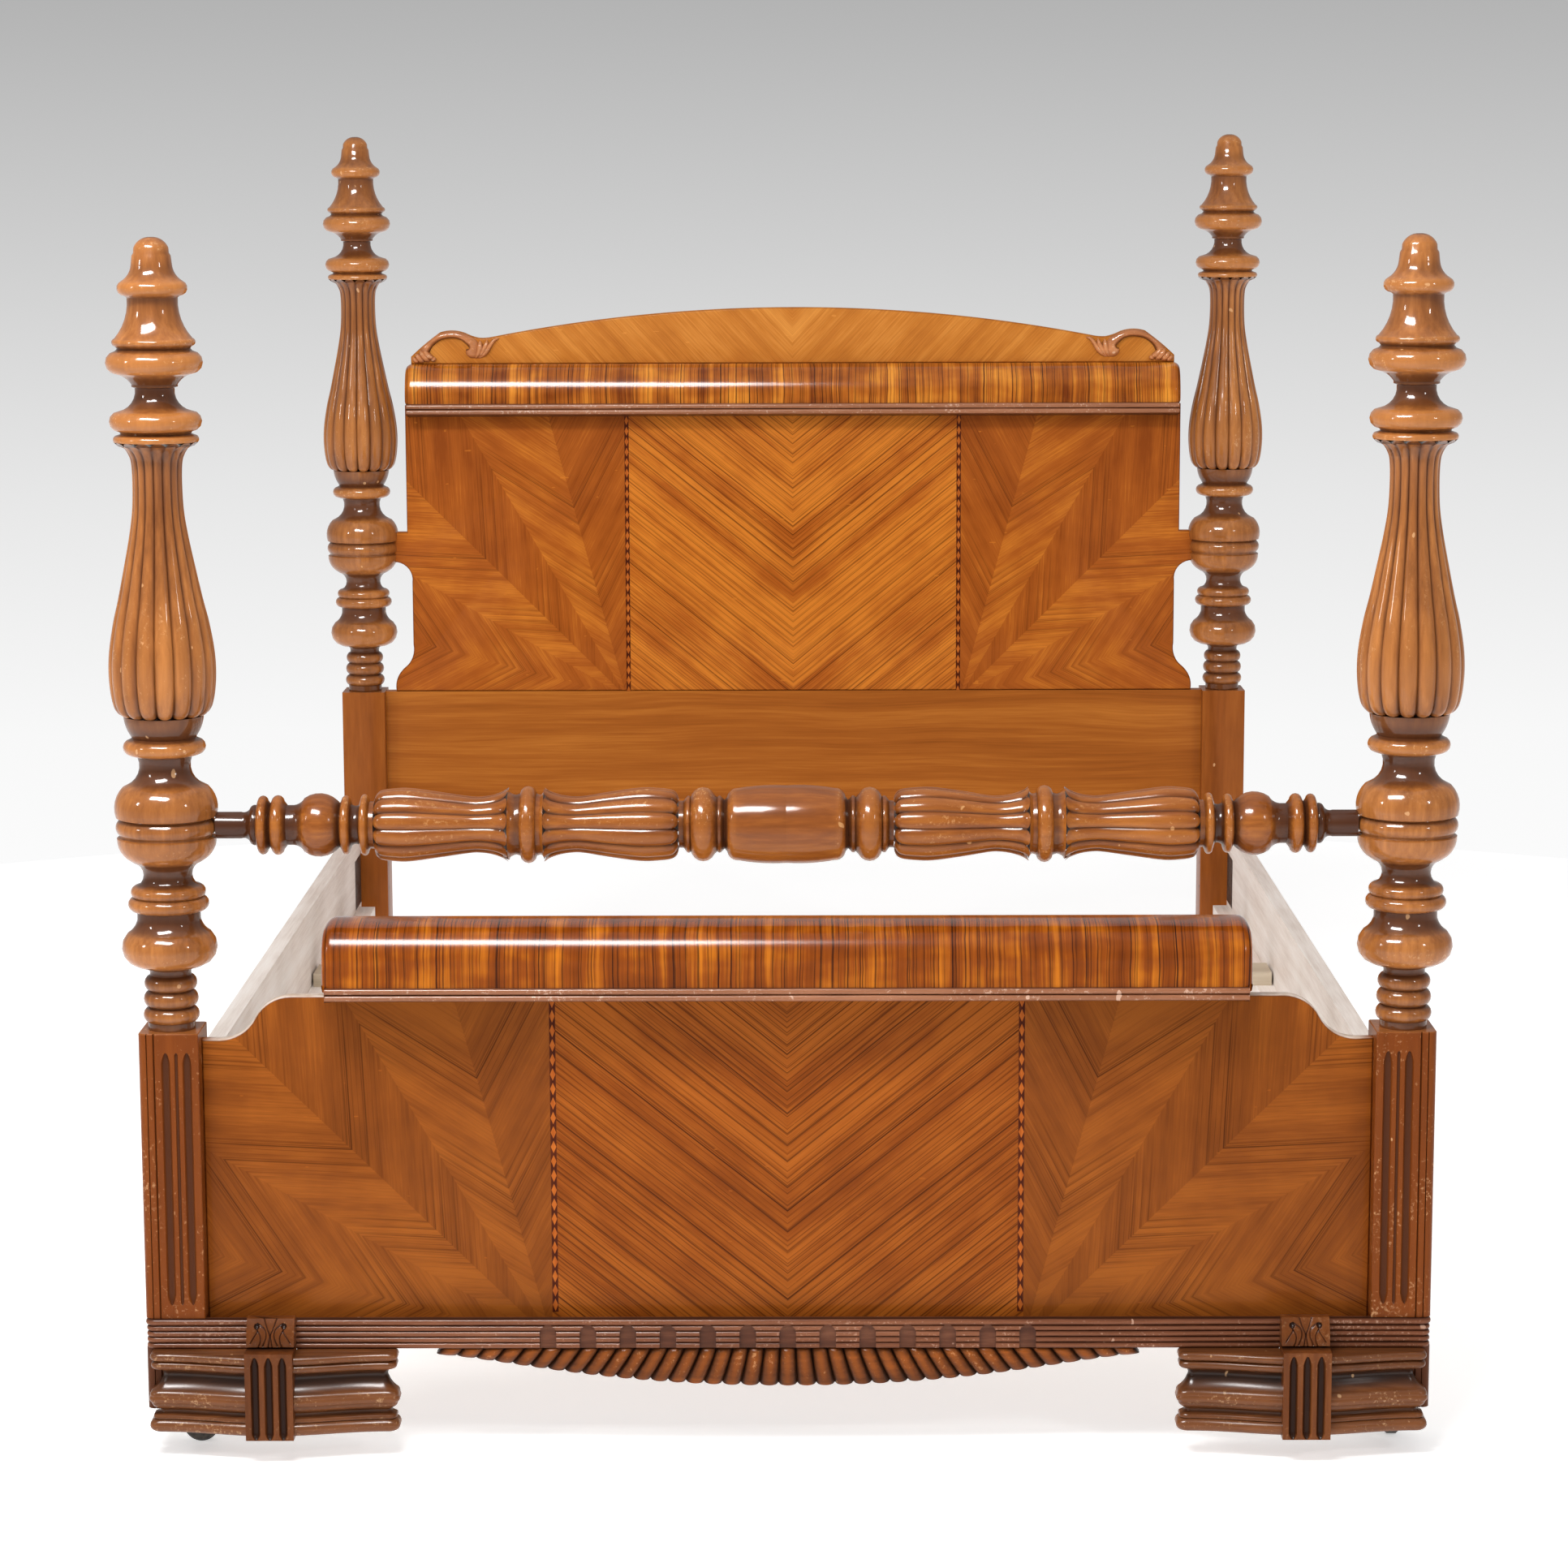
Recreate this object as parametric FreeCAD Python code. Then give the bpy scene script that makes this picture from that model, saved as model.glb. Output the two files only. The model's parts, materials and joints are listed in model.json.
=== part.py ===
import FreeCAD, Part
import math
import os

from FreeCAD import Vector

# Four-poster bed, full size, in millimetres. +Z is up, the head of the bed is towards +Y.
# The origin is on the floor, under the middle of the bed. Right is +X, seen from the foot.

# Sleeping space
mattress_width = 1372.0
mattress_length = 1905.0
side_room = 6.0
end_room = 4.0

# Fits and cutters
fit_gap = 0.25
running_gap = 0.05
overrun = 5.0

# Posts: a square below, one long turning above
post_side = 67.0
foot_square_top = 478.0
head_square_top = 593.0
turned_length = 870.0
turned_radius = 58.4
post_reeds = 16
reed_depth_share = 0.06
reed_flats = 3
round_steps = 2
ball_place_share = 0.262
ball_radius_share = 0.945

# Square of the foot posts: flutes, and a bead beside the rounded outer corner
corner_round = 9.0
corner_bead = 6.0
quirk_width = 2.4
quirk_depth = 2.0
flute_width = 9.5
flute_depth = 4.0
flute_pitch = 22.0
flute_top_room = 21.0
flute_foot_room = 15.0
flute_tip_share = 1.3

# Side rails, ledgers and slats
rail_thick = 22.0
rail_inset = 2.0
rail_height = 165.0
rail_top = 365.0
ledger_width = 25.0
ledger_height = 28.0
ledger_lift = 24.0
ledger_end_room = 30.0
slat_count = 5
slat_width = 70.0
slat_thick = 19.0
slat_pitch = 340.0
slat_end_room = 3.0

# Boards at both ends
panel_thick = 18.0
tongue_depth = 14.0
tongue_room = 10.0
groove_depth = 10.0
inlay_width = 7.0
inlay_thick = 1.2

# Footboard
shoulder_drop = 12.0
shoulder_rise = 49.0
shoulder_start_share = 0.14
shoulder_end_share = 0.72
shoulder_curve_share = 0.14
foot_neck = 8.0
foot_bead_height = 14.0
foot_bead_inset = 4.0
foot_roll_room = 139.0
foot_roll_depth = 110.0
foot_roll_height = 80.0
foot_inlay_x = 260.0

# Headboard
head_rail_height = 210.0
head_rail_thick = 22.0
head_rail_drop = 2.0
head_tenon_length = 30.0
head_tenon_thick = 12.0
head_tenon_room = 15.0
head_panel_height = 454.0
head_panel_reach = 3.0
head_waist_inset = 4.0
head_flare_reach = 24.0
head_flare_height = 75.0
head_bead_height = 18.0
head_bead_inset = 3.0
head_inlay_x = 262.0
ear_height = 48.0
ear_depth = 12.0
ear_curve_height = 32.0
head_roll_room = 16.1
head_roll_height = 65.0
head_roll_stand = 38.0
head_roll_back = 6.0
crest_inset = 8.0
crest_height = 87.0
scroll_stand = 8.0

# Base rail with its reeds and niches
base_rail_bottom = 120.0
base_rail_height = 34.0
base_rail_stand = 6.0
base_rail_wrap = 11.0
base_bead_share = 0.22
base_reeds = 4
niche_count = 13
niche_width = 18.5
niche_pitch = 44.5
niche_depth = 5.5
niche_height = 27.0

# Gadrooned apron
apron_room = 39.0
apron_drop = 43.0
apron_end_drop = 6.0
apron_thick = 20.0
gadroon_count = 35
gadroon_depth_share = 0.214
gadroon_spread_share = 1.10
gadroon_taper_share = 0.25

# Bracket feet and their keys
bracket_bottom = 30.0
bracket_length = 279.0
bracket_end_room = 5.0
bracket_end_stand = 25.0
bracket_key_stand = 42.0
bracket_corner = 9.0
bracket_relief = 14.0
key_setback = 142.5
key_width = 53.0
key_stand = 6.0
key_seat = 18.0
key_foot_drop = 2.0
key_block_rise = 7.0
key_plaque_height = 30.0
key_plaque_stand = 24.0
key_plaque_slope = 5.0
key_plaque_curve_share = 0.08
key_groove = 2.5
key_flute_width = 7.6
key_flute_pitch = 15.2
key_flute_depth = 5.0
key_flute_room = 8.0

# Blanket rail
blanket_radius = 42.9
blanket_reeds = 12
blanket_tenon_radius = 12.5
blanket_tenon_length = 22.0

# Rail hooks, pins and wood screws
hook_thick = 3.0
hook_height = 78.0
hook_length = 80.0
hook_reach = 24.0
hook_drop = 10.0
hook_foot_room = 55.0
hook_finger = 20.0
hook_pin_radius = 2.5
hook_pin_setback = 16.0
hook_pin_length = 58.0
hook_pin_low = 20.0
hook_pin_pitch = 38.0
screw_head_radius = 4.2
screw_head_depth = 2.2
screw_radius = 2.0
hook_screw_length = 14.0
hook_screws = 3
ledger_screw_length = 38.0
ledger_screws = 4

# Casters
wheel_radius = 20.0
wheel_width = 15.0
wheel_edge = 2.5
wheel_room = 2.5
crown_thick = 4.2
crown_radius = 12.5
swivel_gap = 0.3
socket_plate_radius = 17.0
socket_plate_thick = 3.0
socket_tube_radius = 7.5
socket_depth = 40.0
stem_radius = 5.0
stem_length = 36.0
caster_trail = 20.0
caster_setback = 10.0
cheek_thick = 3.0
cheek_room = 0.6
cheek_radius = 6.5
axle_radius = 3.0
axle_head_radius = 5.0
axle_head_thick = 1.5

# Turning of the posts: radius share, height share and bulge of each edge
foot_turning_shares = [
    (0.445, 0.0, 0), (0.445, 0.0092, 0), (0.421, 0.0287, 0.33), (0.421, 0.05, 0.3),
    (0.394, 0.0701, 0.3), (0.43, 0.0805, 0), (0.788, 0.1241, 0.36), (0.596, 0.1425, -0.1),
    (0.634, 0.1529, 0), (0.658, 0.1707, 0.43), (0.514, 0.1885, 0.3), (0.702, 0.2184, -0.27),
    (0.933, 0.2471, 0.14), (0.89, 0.2517, 0), (0.89, 0.2695, 0.15), (0.945, 0.2741, 0),
    (0.805, 0.3115, 0.14), (0.514, 0.3506, -0.21), (0.659, 0.3534, 0), (0.651, 0.3724, 0.42),
    (0.599, 0.3747, 0), (0.72, 0.4023, 0.06),
]
vase_shares = [
    (0.771, 0.4023), (0.899, 0.4126), (0.976, 0.4333), (1.0, 0.4586), (0.976, 0.4862),
    (0.890, 0.5207), (0.788, 0.5494), (0.659, 0.5908), (0.548, 0.6287), (0.479, 0.6609),
    (0.459, 0.6954), (0.473, 0.7241), (0.565, 0.7379), (0.77, 0.7471),
]
finial_turning_shares = [
    (0.783, 0.7471, 0), (0.651, 0.7569, 0.2), (0.676, 0.7598, 0), (0.676, 0.7851, 0.48),
    (0.368, 0.8138, -0.2), (0.428, 0.8184, 0), (0.702, 0.831, -0.1), (0.69, 0.8612, 0.45),
    (0.719, 0.8753, 0.4), (0.471, 0.9253, -0.1), (0.514, 0.9276, 0), (0.562, 0.946, 0.4),
    (0.380, 0.9655, -0.12), (0.329, 0.9805, 0), (0.06, 1.0, 0.14),
]

# Blanket rail from its middle to one end: radius share, length share and bulge
blanket_middle_shares = [
    (1.0, 0.0, 0), (0.93, 0.0845, 0.03), (0.629, 0.1084, 0.2), (0.699, 0.1132, 0),
    (0.699, 0.1212, 0.3), (0.769, 0.1259, 0), (0.769, 0.1658, 0.32), (0.699, 0.1674, 0),
    (0.606, 0.1801, 0.3), (0.606, 0.188, 0),
]
blanket_inner_vase_shares = [
    (0.745, 0.188), (0.909, 0.2072), (0.946, 0.2563), (0.839, 0.3109), (0.723, 0.3635),
    (0.769, 0.3953), (0.956, 0.4244),
]
blanket_ring_shares = [
    (0.886, 0.4244, 0), (0.769, 0.4304, -0.1), (0.8, 0.4376, 0), (0.8, 0.4663, 0.46),
    (0.769, 0.4735, 0), (0.886, 0.487, -0.1),
]
blanket_outer_vase_shares = [
    (0.956, 0.487), (0.769, 0.5149), (0.723, 0.5484), (0.839, 0.6058), (0.946, 0.6759),
    (0.886, 0.7094), (0.745, 0.722),
]
blanket_end_shares = [
    (0.606, 0.722, 0), (0.606, 0.7301, 0), (0.7, 0.7333, 0), (0.7, 0.7453, 0.5),
    (0.513, 0.7492, 0), (0.664, 0.7652, -0.2), (0.664, 0.7795, 0.45), (0.559, 0.7827, 0),
    (0.699, 0.8449, 0.18), (0.513, 0.8688, -0.15), (0.629, 0.8816, 0), (0.629, 0.9023, 0.46),
    (0.559, 0.9055, 0), (0.653, 0.9102, 0), (0.653, 0.9262, 0.45), (0.443, 0.9405, 0.1),
    (0.343, 0.9565, -0.2), (0.343, 1.0, 0),
]

# Moulding of the bracket feet: height share and relief share, at each edge and each middle
bracket_moulding_shares = [
    (1.0, 0.43), (0.939, 0.14), (0.878, 0.43), (0.817, 0.14), (0.756, 0.5), (0.689, 1.0),
    (0.622, 0.85), (0.46, 0.07), (0.289, 0.57), (0.233, 0.71), (0.178, 0.36), (0.089, 0.0),
    (0.0, 0.29),
]

# Right half of the crest: share of its half length, share of its height, bulge
crest_shares = [
    (1.0, 0.0, 0), (1.0, 0.13, 0), (0.923, 0.567, 0.02), (0.858, 0.552, 0.083), (0.82, 0.464, -0.04),
    (0.79, 0.477, -0.03),
]
crest_crown_share = 0.048
# Scroll on the crest: outer edge as the crest's, inner edge as a C, leaf towards the middle
scroll_leaf_shares = [(0.77, 0.475, 0), (0.814, 0.117, 0.1), (0.857, 0.16, 0.3)]
scroll_curl_shares = [(0.846, 0.3, -0.1), (0.957, 0.228, -0.276), (0.94, 0.09, -0.1)]
scroll_foot_shares = [(0.95, 0.012, 0.3), (1.0, 0.012, 0)]

# Section of the foot roll: share of its depth, share of its height, bulge
foot_roll_shares = [
    (-0.46, 0.0, 0), (0.46, 0.0, 0), (0.5, 0.06, 0.2), (0.5, 0.42, 0), (0.26, 0.94, 0.17),
    (-0.26, 0.94, 0.055), (-0.5, 0.42, 0.17), (-0.5, 0.06, 0),
]
# Front curve of the head roll: share of its stand behind the front, share of its height below the top, bulge
head_roll_shares = [(0.95, 0.0, 0), (0.28, 0.225, 0.133), (0.0, 0.77, 0.061)]

# Main places, worked out from the sizes above
rail_inner = mattress_width / 2 + side_room
post_x = rail_inner + rail_thick + rail_inset - post_side / 2
post_inner = post_x - post_side / 2
post_outer = post_x + post_side / 2
post_spacing = mattress_length + 2 * end_room + post_side
front_reach = post_side / 2 + bracket_key_stand + key_stand
foot_y = (front_reach - turned_radius - post_spacing) / 2
head_y = foot_y + post_spacing
foot_front = foot_y - post_side / 2
foot_inside = foot_y + post_side / 2
head_inside = head_y - post_side / 2
foot_panel_front = foot_y - panel_thick / 2
head_panel_front = head_y - panel_thick / 2
post_bottom = 2 * wheel_radius + wheel_room + crown_thick + swivel_gap + socket_plate_thick
ball_radius = ball_radius_share * turned_radius
ball_height = ball_place_share * turned_length
blanket_z = foot_square_top + ball_height
blanket_half = post_x - ball_radius
base_rail_top = base_rail_bottom + base_rail_height
bracket_inner_x = post_outer - bracket_end_room - bracket_length
key_x = post_outer - key_setback
apron_half = bracket_inner_x - apron_room
shoulder_low = foot_square_top - shoulder_drop
shoulder_high = shoulder_low + shoulder_rise
foot_roll_bottom = shoulder_high + foot_neck
foot_roll_half = post_inner - foot_roll_room
foot_bead_half = foot_roll_half - foot_bead_inset
head_rail_top = head_square_top - head_rail_drop
head_roll_bottom = head_rail_top + head_panel_height
head_roll_top = head_roll_bottom + head_roll_height
head_roll_half = post_x - turned_radius - head_roll_room
head_panel_half = head_roll_half + head_panel_reach
head_waist_half = head_roll_half - head_waist_inset
head_flare_half = head_roll_half + head_flare_reach
head_bead_half = head_roll_half - head_bead_inset
crest_half = head_roll_half - crest_inset
ear_z = head_square_top + ball_height
ear_end = post_x - ball_radius + ear_depth
rail_bottom = rail_top - rail_height
ledger_top = rail_bottom + ledger_lift + ledger_height
hook_bottom = rail_bottom + hook_foot_room
origin = Vector(0, 0, 0)
up = Vector(0, 0, 1)
full_turn = 360
quarter_turn = 90
half_round_share = 0.5
quarter_round_share = (math.sqrt(2) - 1) / 2


def block(x0, x1, y0, y1, z0, z1):
    """Box between two opposite corners."""
    return Part.makeBox(x1 - x0, y1 - y0, z1 - z0, Vector(x0, y0, z0))


def rod(radius, start, run):
    """Round rod from a start point along a run."""
    return Part.makeCylinder(radius, run.Length, start, run)


def mirrored(shape):
    """The same shape on the other side of the bed."""
    return shape.mirror(origin, Vector(1, 0, 0))


def across_bed(y):
    """Upright plane seen from the foot: points are (x, z)."""
    return lambda x, z: Vector(x, y, z)


def along_bed(x):
    """Upright plane seen from the right: points are (y, z)."""
    return lambda y, z: Vector(x, y, z)


def level(z):
    """Level plane seen from above: points are (x, y)."""
    return lambda x, y: Vector(x, y, z)


def bulged_edge(start, end, bulge, place):
    """Straight edge, or an arc that rises to the right of its way by bulge times its chord."""
    if bulge == 0:
        return Part.makeLine(place(*start), place(*end))
    run_a = end[0] - start[0]
    run_b = end[1] - start[1]
    middle_a = (start[0] + end[0]) / 2 + bulge * run_b
    middle_b = (start[1] + end[1]) / 2 - bulge * run_a
    return Part.Arc(place(*start), place(middle_a, middle_b), place(*end)).toShape()


def outline(rows, place):
    """Closed wire through rows of (a, b, bulge), where each bulge is the arriving edge's."""
    edges = []
    last = rows[-1]
    for row in rows:
        edges.append(bulged_edge(last[:2], row[:2], row[2], place))
        last = row
    return Part.Wire(edges)


def stepped(rows):
    """Rows of an outline with each bulged edge as a few equal steps along its arc."""
    steps = []
    last = rows[-1]
    for row in rows:
        if row[2] != 0:
            half = 2 * math.atan(2 * row[2])
            run_a = row[0] - last[0]
            run_b = row[1] - last[1]
            for i in range(1, round_steps):
                turn = half * (2 * i / round_steps - 1)
                along = (1 + math.sin(turn) / math.sin(half)) / 2
                rise = (math.cos(turn) - math.cos(half)) / (2 * math.sin(half))
                steps.append((last[0] + along * run_a + rise * run_b,
                              last[1] + along * run_b - rise * run_a, 0))
        steps.append((row[0], row[1], 0))
        last = row
    return steps


def prism(rows, place, run):
    """Solid swept straight from a closed outline."""
    return Part.Face(outline(rows, place)).extrude(run)


def both_halves(rows, crown):
    """Whole outline from its right half, given upwards; crown is the top edge's bulge."""
    whole = list(rows)
    bulge = crown
    for x, z, arriving in reversed(rows):
        whole.append((-x, z, bulge))
        bulge = arriving
    return whole


def scaled_rows(shares, width, height, bottom):
    """Rows in millimetres from rows of shares."""
    return [(a * width, bottom + b * height, bulge) for a, b, bulge in shares]


def lancet(x, width, z0, z1):
    """Outline of a flute with pointed ends."""
    half = width / 2
    tip = flute_tip_share * width
    arch = quarter_round_share / 2
    return [
        (x, z0, arch), (x + half, z0 + tip, arch), (x + half, z1 - tip, 0),
        (x, z1, arch), (x - half, z1 - tip, arch), (x - half, z0 + tip, 0),
    ]


def turning(shares, radius, length):
    """Turned solid about Z."""
    rows = scaled_rows(shares, radius, length, 0)
    closed = [(0, rows[0][1], 0)] + rows + [(0, rows[-1][1], 0)]
    return Part.Face(outline(stepped(closed), across_bed(0))).revolve(origin, up, full_turn)


def reeded_ring(radius, height, count):
    """Ring of convex reeds about Z, each reed with a few flats."""
    low = radius * (1 - reed_depth_share)
    points = []
    for i in range(count * reed_flats + 1):
        t = i % reed_flats / reed_flats
        reach = low + 4 * t * (1 - t) * (radius - low)
        turn = 2 * math.pi * i / (count * reed_flats)
        points.append(Vector(reach * math.cos(turn), reach * math.sin(turn), height))
    return Part.makePolygon(points)


def reeded_vase(shares, radius, length, count):
    """Reeded swelling about Z, lofted through its rings."""
    rings = [reeded_ring(r * radius, h * length, count) for r, h in shares]
    return Part.makeLoft(rings, True, True)


def turned_post():
    """Turned part of a post, standing on its square."""
    lower = turning(foot_turning_shares, turned_radius, turned_length)
    vase = reeded_vase(vase_shares, turned_radius, turned_length, post_reeds)
    upper = turning(finial_turning_shares, turned_radius, turned_length)
    return lower.fuse([vase, upper])


def post_square(y, top):
    """Square part of a right-hand post."""
    return block(post_inner, post_outer, y - post_side / 2, y + post_side / 2, post_bottom, top)


def hook_slot(inside, way):
    """Slot and pin bores in a right-hand post for one rail hook; way points into the post."""
    ends = sorted([inside - way * overrun, inside + way * (hook_reach + fit_gap)])
    slot = block(rail_inner - fit_gap, rail_inner + hook_thick + fit_gap, ends[0], ends[1],
                 hook_bottom - hook_drop, hook_bottom + hook_height + hook_drop)
    bores = []
    for pin in hook_pin_places(inside, way):
        start = pin - Vector(overrun, 0, 0)
        bores.append(rod(hook_pin_radius, start, Vector(hook_pin_length + overrun, 0, 0)))
    return slot.fuse(bores)


def hook_pin_places(inside, way):
    """Inner ends of the two pins of a right-hand post."""
    y = inside + way * hook_pin_setback
    low = hook_bottom + hook_pin_low
    return [Vector(post_inner, y, low), Vector(post_inner, y, low + hook_pin_pitch)]


def caster_place(x, y):
    """Point where a caster's axis meets the bottom of its post."""
    return Vector(x, y, post_bottom)


def socket_bore(place):
    """Bore in a post for a caster socket."""
    start = place - Vector(0, 0, overrun)
    return rod(socket_tube_radius + fit_gap, start, Vector(0, 0, socket_depth + overrun))


def square_mouldings():
    """Cutters for the flutes, the middle quirk and the corner bead of a right-hand foot post."""
    face = foot_front - overrun
    flat = post_outer - corner_round - corner_bead - quirk_width
    middle = (post_inner + flat) / 2
    low = base_rail_top + flute_foot_room
    high = foot_square_top - flute_top_room
    deep = Vector(0, overrun + flute_depth, 0)
    cutters = []
    for x in (middle - flute_pitch / 2, middle + flute_pitch / 2):
        cutters.append(prism(lancet(x, flute_width, low, high), across_bed(face), deep))
    for x, z0 in ((middle, low), (flat, base_rail_top), (flat + corner_bead + quirk_width, base_rail_top)):
        rows = [(x - quirk_width / 2, foot_front, 0), (x + quirk_width / 2, foot_front, 0),
                (x, foot_front + quirk_depth, 0)]
        z1 = high if z0 == low else foot_square_top
        cutters.append(prism(rows, level(z0), Vector(0, 0, z1 - z0)))
    return cutters


def foot_post():
    """Right-hand foot post with its mortises."""
    square = post_square(foot_y, foot_square_top)
    corner = [e for e in square.Edges if is_outer_front(e)]
    square = square.makeFillet(corner_round, corner)
    square = square.cut(square_mouldings())
    turned = turned_post()
    turned.translate(Vector(post_x, foot_y, foot_square_top))
    half = panel_thick / 2 + fit_gap
    groove = block(post_inner - overrun, post_inner + tongue_depth + fit_gap,
                   foot_y - half, foot_y + half,
                   base_rail_top + tongue_room - fit_gap, shoulder_low - tongue_room + fit_gap)
    lap = block(post_inner - overrun, post_outer + overrun, foot_front - overrun, foot_panel_front,
                base_rail_bottom, base_rail_top)
    bore = rod(blanket_tenon_radius + fit_gap, Vector(blanket_half - overrun, foot_y, blanket_z),
               Vector(blanket_tenon_length + overrun + fit_gap, 0, 0))
    seat = rod(blanket_end_shares[-1][0] * blanket_radius + fit_gap,
               Vector(blanket_half - overrun, foot_y, blanket_z), Vector(overrun + fit_gap, 0, 0))
    caster = socket_bore(caster_place(post_x, foot_y + caster_setback))
    cuts = [groove, lap, bore, seat, caster, hook_slot(foot_inside, -1)]
    return square.fuse(turned).cut(cuts)


def is_outer_front(edge):
    """True for the upright edge at the outer front corner of a right-hand foot post."""
    box = edge.BoundBox
    return box.XMin > post_x and box.YMax < foot_y and box.ZLength > post_side


def head_post():
    """Right-hand head post with its mortises."""
    turned = turned_post()
    turned.translate(Vector(post_x, head_y, head_square_top))
    half = head_tenon_thick / 2 + fit_gap
    mortise = block(post_inner - overrun, post_inner + head_tenon_length + fit_gap,
                    head_y - half, head_y + half,
                    head_rail_top - head_rail_height + head_tenon_room - fit_gap,
                    head_rail_top - head_tenon_room + fit_gap)
    half = panel_thick / 2 + fit_gap
    ear = block(post_x - 2 * turned_radius, ear_end + fit_gap, head_y - half, head_y + half,
                ear_z - ear_height / 2 - fit_gap, ear_z + ear_height / 2 + fit_gap)
    caster = socket_bore(caster_place(post_x, head_y))
    square = post_square(head_y, head_square_top)
    return square.fuse(turned).cut([mortise, ear, caster, hook_slot(head_inside, 1)])


def inlay_strips(x, front, z0, z1):
    """Two inlay strips let into a board's front."""
    half = inlay_width / 2
    return [block(s * x - half, s * x + half, front, front + inlay_thick, z0, z1) for s in (-1, 1)]


def foot_inlays():
    """Inlay strips of the footboard."""
    return inlay_strips(foot_inlay_x, foot_panel_front, base_rail_top, foot_roll_bottom - foot_bead_height)


def head_inlays():
    """Inlay strips of the headboard."""
    return inlay_strips(head_inlay_x, head_panel_front, head_rail_top, head_roll_bottom - head_bead_height)


def footboard_panel():
    """Footboard with ogee shoulders, tongued into the posts and into the roll."""
    span = post_inner - foot_roll_half
    start = post_inner - shoulder_start_share * span
    end = post_inner - shoulder_end_share * span
    middle = (start + end) / 2
    middle_z = (shoulder_low + shoulder_high) / 2
    tip = post_inner + tongue_depth
    top = foot_roll_bottom + groove_depth
    neck = foot_roll_half - 2 * tongue_depth
    rows = [
        (post_inner, base_rail_bottom, 0), (post_inner, base_rail_top + tongue_room, 0),
        (tip, base_rail_top + tongue_room, 0), (tip, shoulder_low - tongue_room, 0),
        (post_inner, shoulder_low - tongue_room, 0), (post_inner, shoulder_low, 0),
        (start, shoulder_low, 0), (middle, middle_z, -shoulder_curve_share),
        (end, shoulder_high, shoulder_curve_share), (foot_roll_half, shoulder_high, 0),
        (foot_roll_half, foot_roll_bottom, 0), (neck, foot_roll_bottom, 0), (neck, top, 0),
    ]
    board = prism(both_halves(rows, 0), across_bed(foot_panel_front), Vector(0, panel_thick, 0))
    return board.cut(foot_inlays())


def panel_groove(half, y, z0, z1):
    """Groove in a roll or rail for a board's tongue."""
    wide = panel_thick / 2 + fit_gap
    return block(-half - fit_gap, half + fit_gap, y - wide, y + wide, z0, z1)


def footboard_roll():
    """Rounded rail along the top of the footboard."""
    rows = [(foot_y + a * foot_roll_depth, foot_roll_bottom + b * foot_roll_height, bulge)
            for a, b, bulge in foot_roll_shares]
    roll = prism(rows, along_bed(-foot_roll_half), Vector(2 * foot_roll_half, 0, 0))
    groove = panel_groove(foot_roll_half - 2 * tongue_depth, foot_y, foot_roll_bottom - overrun,
                          foot_roll_bottom + groove_depth + fit_gap)
    return roll.cut(groove)


def double_bead(front, top, height, half):
    """Strip of two half-round beads on a board's front."""
    step = height / 2
    rows = [(front, top - height, 0), (front, top, 0), (front - step / 2, top, 0),
            (front - step / 2, top - step, half_round_share),
            (front - step / 2, top - height, half_round_share)]
    return prism(rows, along_bed(-half), Vector(2 * half, 0, 0))


def head_rail():
    """Plain rail between the head posts, tenoned at both ends, grooved for the panel."""
    bottom = head_rail_top - head_rail_height
    half = head_rail_thick / 2
    rail = block(-post_inner, post_inner, head_y - half, head_y + half, bottom, head_rail_top)
    tip = post_inner + head_tenon_length
    half = head_tenon_thick / 2
    tenon = block(-tip, tip, head_y - half, head_y + half,
                  bottom + head_tenon_room, head_rail_top - head_tenon_room)
    groove = panel_groove(head_flare_half, head_y, head_rail_top - groove_depth - fit_gap,
                          head_rail_top + overrun)
    return rail.fuse(tenon).cut(groove)


def headboard_panel():
    """Headboard: flared foot, waist, ears into the posts' balls and a tongue into the roll."""
    flare_top = head_rail_top + head_flare_height
    ear_bottom = ear_z - ear_height / 2
    middle = (head_flare_half + head_waist_half) / 2
    neck = head_roll_half - 2 * tongue_depth
    top = head_roll_bottom + groove_depth
    rows = [
        (head_flare_half, head_rail_top - groove_depth, 0), (head_flare_half, head_rail_top, 0),
        (middle, (head_rail_top + flare_top) / 2, shoulder_curve_share),
        (head_waist_half, flare_top, -shoulder_curve_share),
        (head_waist_half, ear_bottom - ear_curve_height, 0),
        (ear_end - ear_depth, ear_bottom, -quarter_round_share), (ear_end, ear_bottom, 0),
        (ear_end, ear_bottom + ear_height, 0), (head_panel_half, ear_bottom + ear_height, 0),
        (head_panel_half, head_roll_bottom, 0), (neck, head_roll_bottom, 0), (neck, top, 0),
    ]
    board = prism(both_halves(rows, 0), across_bed(head_panel_front), Vector(0, panel_thick, 0))
    return board.cut(head_inlays())


def headboard_roll():
    """Rounded rail along the top of the headboard, grooved for the panel and the crest."""
    front = head_panel_front - head_roll_stand
    back = head_y + panel_thick / 2 + head_roll_back
    rows = [(front, head_roll_bottom, 0), (back, head_roll_bottom, 0), (back, head_roll_top, 0)]
    rows += [(front + a * head_roll_stand, head_roll_top - b * head_roll_height, bulge)
             for a, b, bulge in head_roll_shares]
    roll = prism(rows, along_bed(-head_roll_half), Vector(2 * head_roll_half, 0, 0))
    below = panel_groove(head_roll_half - 2 * tongue_depth, head_y, head_roll_bottom - overrun,
                         head_roll_bottom + groove_depth + fit_gap)
    above = panel_groove(crest_half - 2 * tongue_depth, head_y,
                         head_roll_top - groove_depth - fit_gap, head_roll_top + overrun)
    return roll.cut([below, above])


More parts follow.
